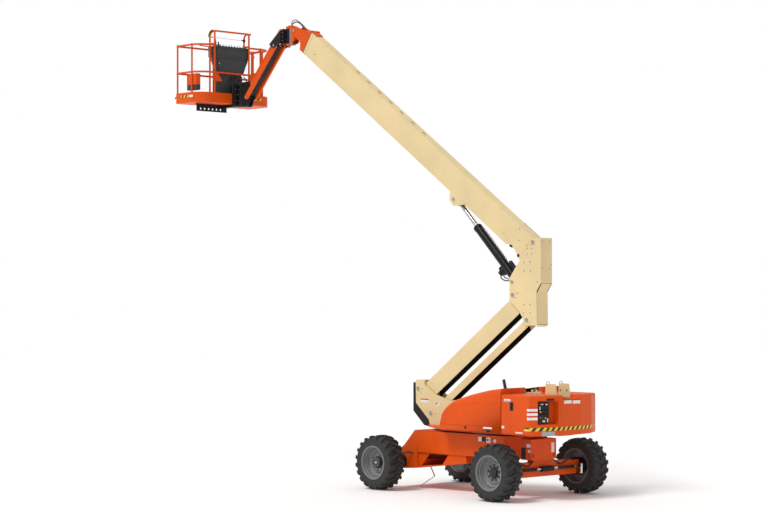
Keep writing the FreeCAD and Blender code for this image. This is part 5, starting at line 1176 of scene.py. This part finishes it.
def jib_detail():
    hoses = Piece("jib_hoses", "hose", "jib_upper", JIB)
    for y in (-0.048, 0.046, 0.03):
        hoses.tube([(0.06, y, -0.02), (0.25, y, -0.012), (0.6, y, -0.016), (0.95, y, -0.01),
                    (1.12, y, -0.02)], 0.011, 10)
    hoses.done()
    low = Piece("jib_low_hoses", "hose", "jib_lower", JIB_LOW)
    for y, sag in ((-0.05, 0.0), (-0.02, 0.012), (0.018, 0.004), (0.05, 0.01)):
        low.tube([(0.02, y, 0.012 - sag), (0.3, y, 0.004), (0.62, y, -0.006 - sag), (0.95, y, 0.004),
                  (1.2, y, 0.012)], 0.014, 10)
    low.done()
    pins = Piece("jib_pins", "zinc", "jib_end")
    for mark in (1, -1):
        jib_pin_ends(pins, mark, (6.0097, 0.0835, 7.3231), (6.1207, 0.1355, 7.0641))
    pins.done(0.001)


rotator_detail()
jib_detail()

# ---- rounded edges of the CAD pieces


def soften(name, width, segments):
    """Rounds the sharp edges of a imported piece; its own mesh stays as it is."""
    joined = NODES[name].modifiers.new("join", "WELD")
    joined.merge_threshold = 0.00002
    rounded(NODES[name], width, segments, 35).harden_normals = True


for soft_name, soft_width in (
    ("counterweight", 0.035), ("chassis_frame", 0.003), ("main_boom", 0.003), ("tower_base", 0.002),
    ("upright", 0.002), ("tower_upper_link", 0.002), ("tower_lower_link", 0.002), ("fly_head", 0.002),
    ("level_bracket", 0.003), ("jib_rotator", 0.004), ("jib_end_bracket", 0.004), ("jib_upper_link", 0.002),
    ("jib_lower_link", 0.005), ("front_cover", 0.004), ("turntable_deck", 0.002), ("steer_axle", 0.004),
    ("platform_support", 0.003), ("knuckle_left", 0.003), ("knuckle_right", 0.003),
):
    soften(soft_name, soft_width, 3 if soft_width > 0.01 else 2)

# ---- setting


def make_setting():
    floor = bpy.data.meshes.new("floor")
    floor.from_pydata([(-60, -60, -0.002), (60, -60, -0.002), (60, 60, -0.002), (-60, 60, -0.002)], [],
                      [(0, 1, 2, 3)])
    ground = placed("floor", floor)
    material = bpy.data.materials.new("studio_floor")
    material.use_nodes = True
    tree = material.node_tree
    surface = tree.nodes["Principled BSDF"]
    surface.inputs["Base Color"].default_value = (0.95, 0.95, 0.95, 1)
    surface.inputs["Roughness"].default_value = 0.9
    floor.materials.append(material)
    world = bpy.data.worlds.new("studio")
    bpy.context.scene.world = world
    world.use_nodes = True
    tree = world.node_tree
    soft = tree.nodes["Background"]
    soft.inputs["Color"].default_value = (1.0, 0.99, 0.97, 1)
    soft.inputs["Strength"].default_value = 0.64
    bright = tree.nodes.new("ShaderNodeBackground")
    bright.inputs["Color"].default_value = (1, 1, 1, 1)
    path = tree.nodes.new("ShaderNodeLightPath")
    choose = tree.nodes.new("ShaderNodeMixShader")
    tree.links.new(path.outputs["Is Camera Ray"], choose.inputs["Fac"])
    tree.links.new(soft.outputs[0], choose.inputs[1])
    tree.links.new(bright.outputs[0], choose.inputs[2])
    tree.links.new(choose.outputs[0], tree.nodes["World Output"].inputs["Surface"])
    for name, power, spread, direction in (("key", 1.75, 18, (-0.1, -0.55, -0.85)),
                                           ("fill", 0.12, 40, (0.8, -0.5, -0.25))):
        lamp = bpy.data.lights.new(name, "SUN")
        lamp.energy = power
        lamp.angle = math.radians(spread)
        placed(name, lamp).rotation_euler = Vector(direction).to_track_quat("-Z", "Y").to_euler()


make_setting()
bpy.context.scene.view_settings.view_transform = "Standard"
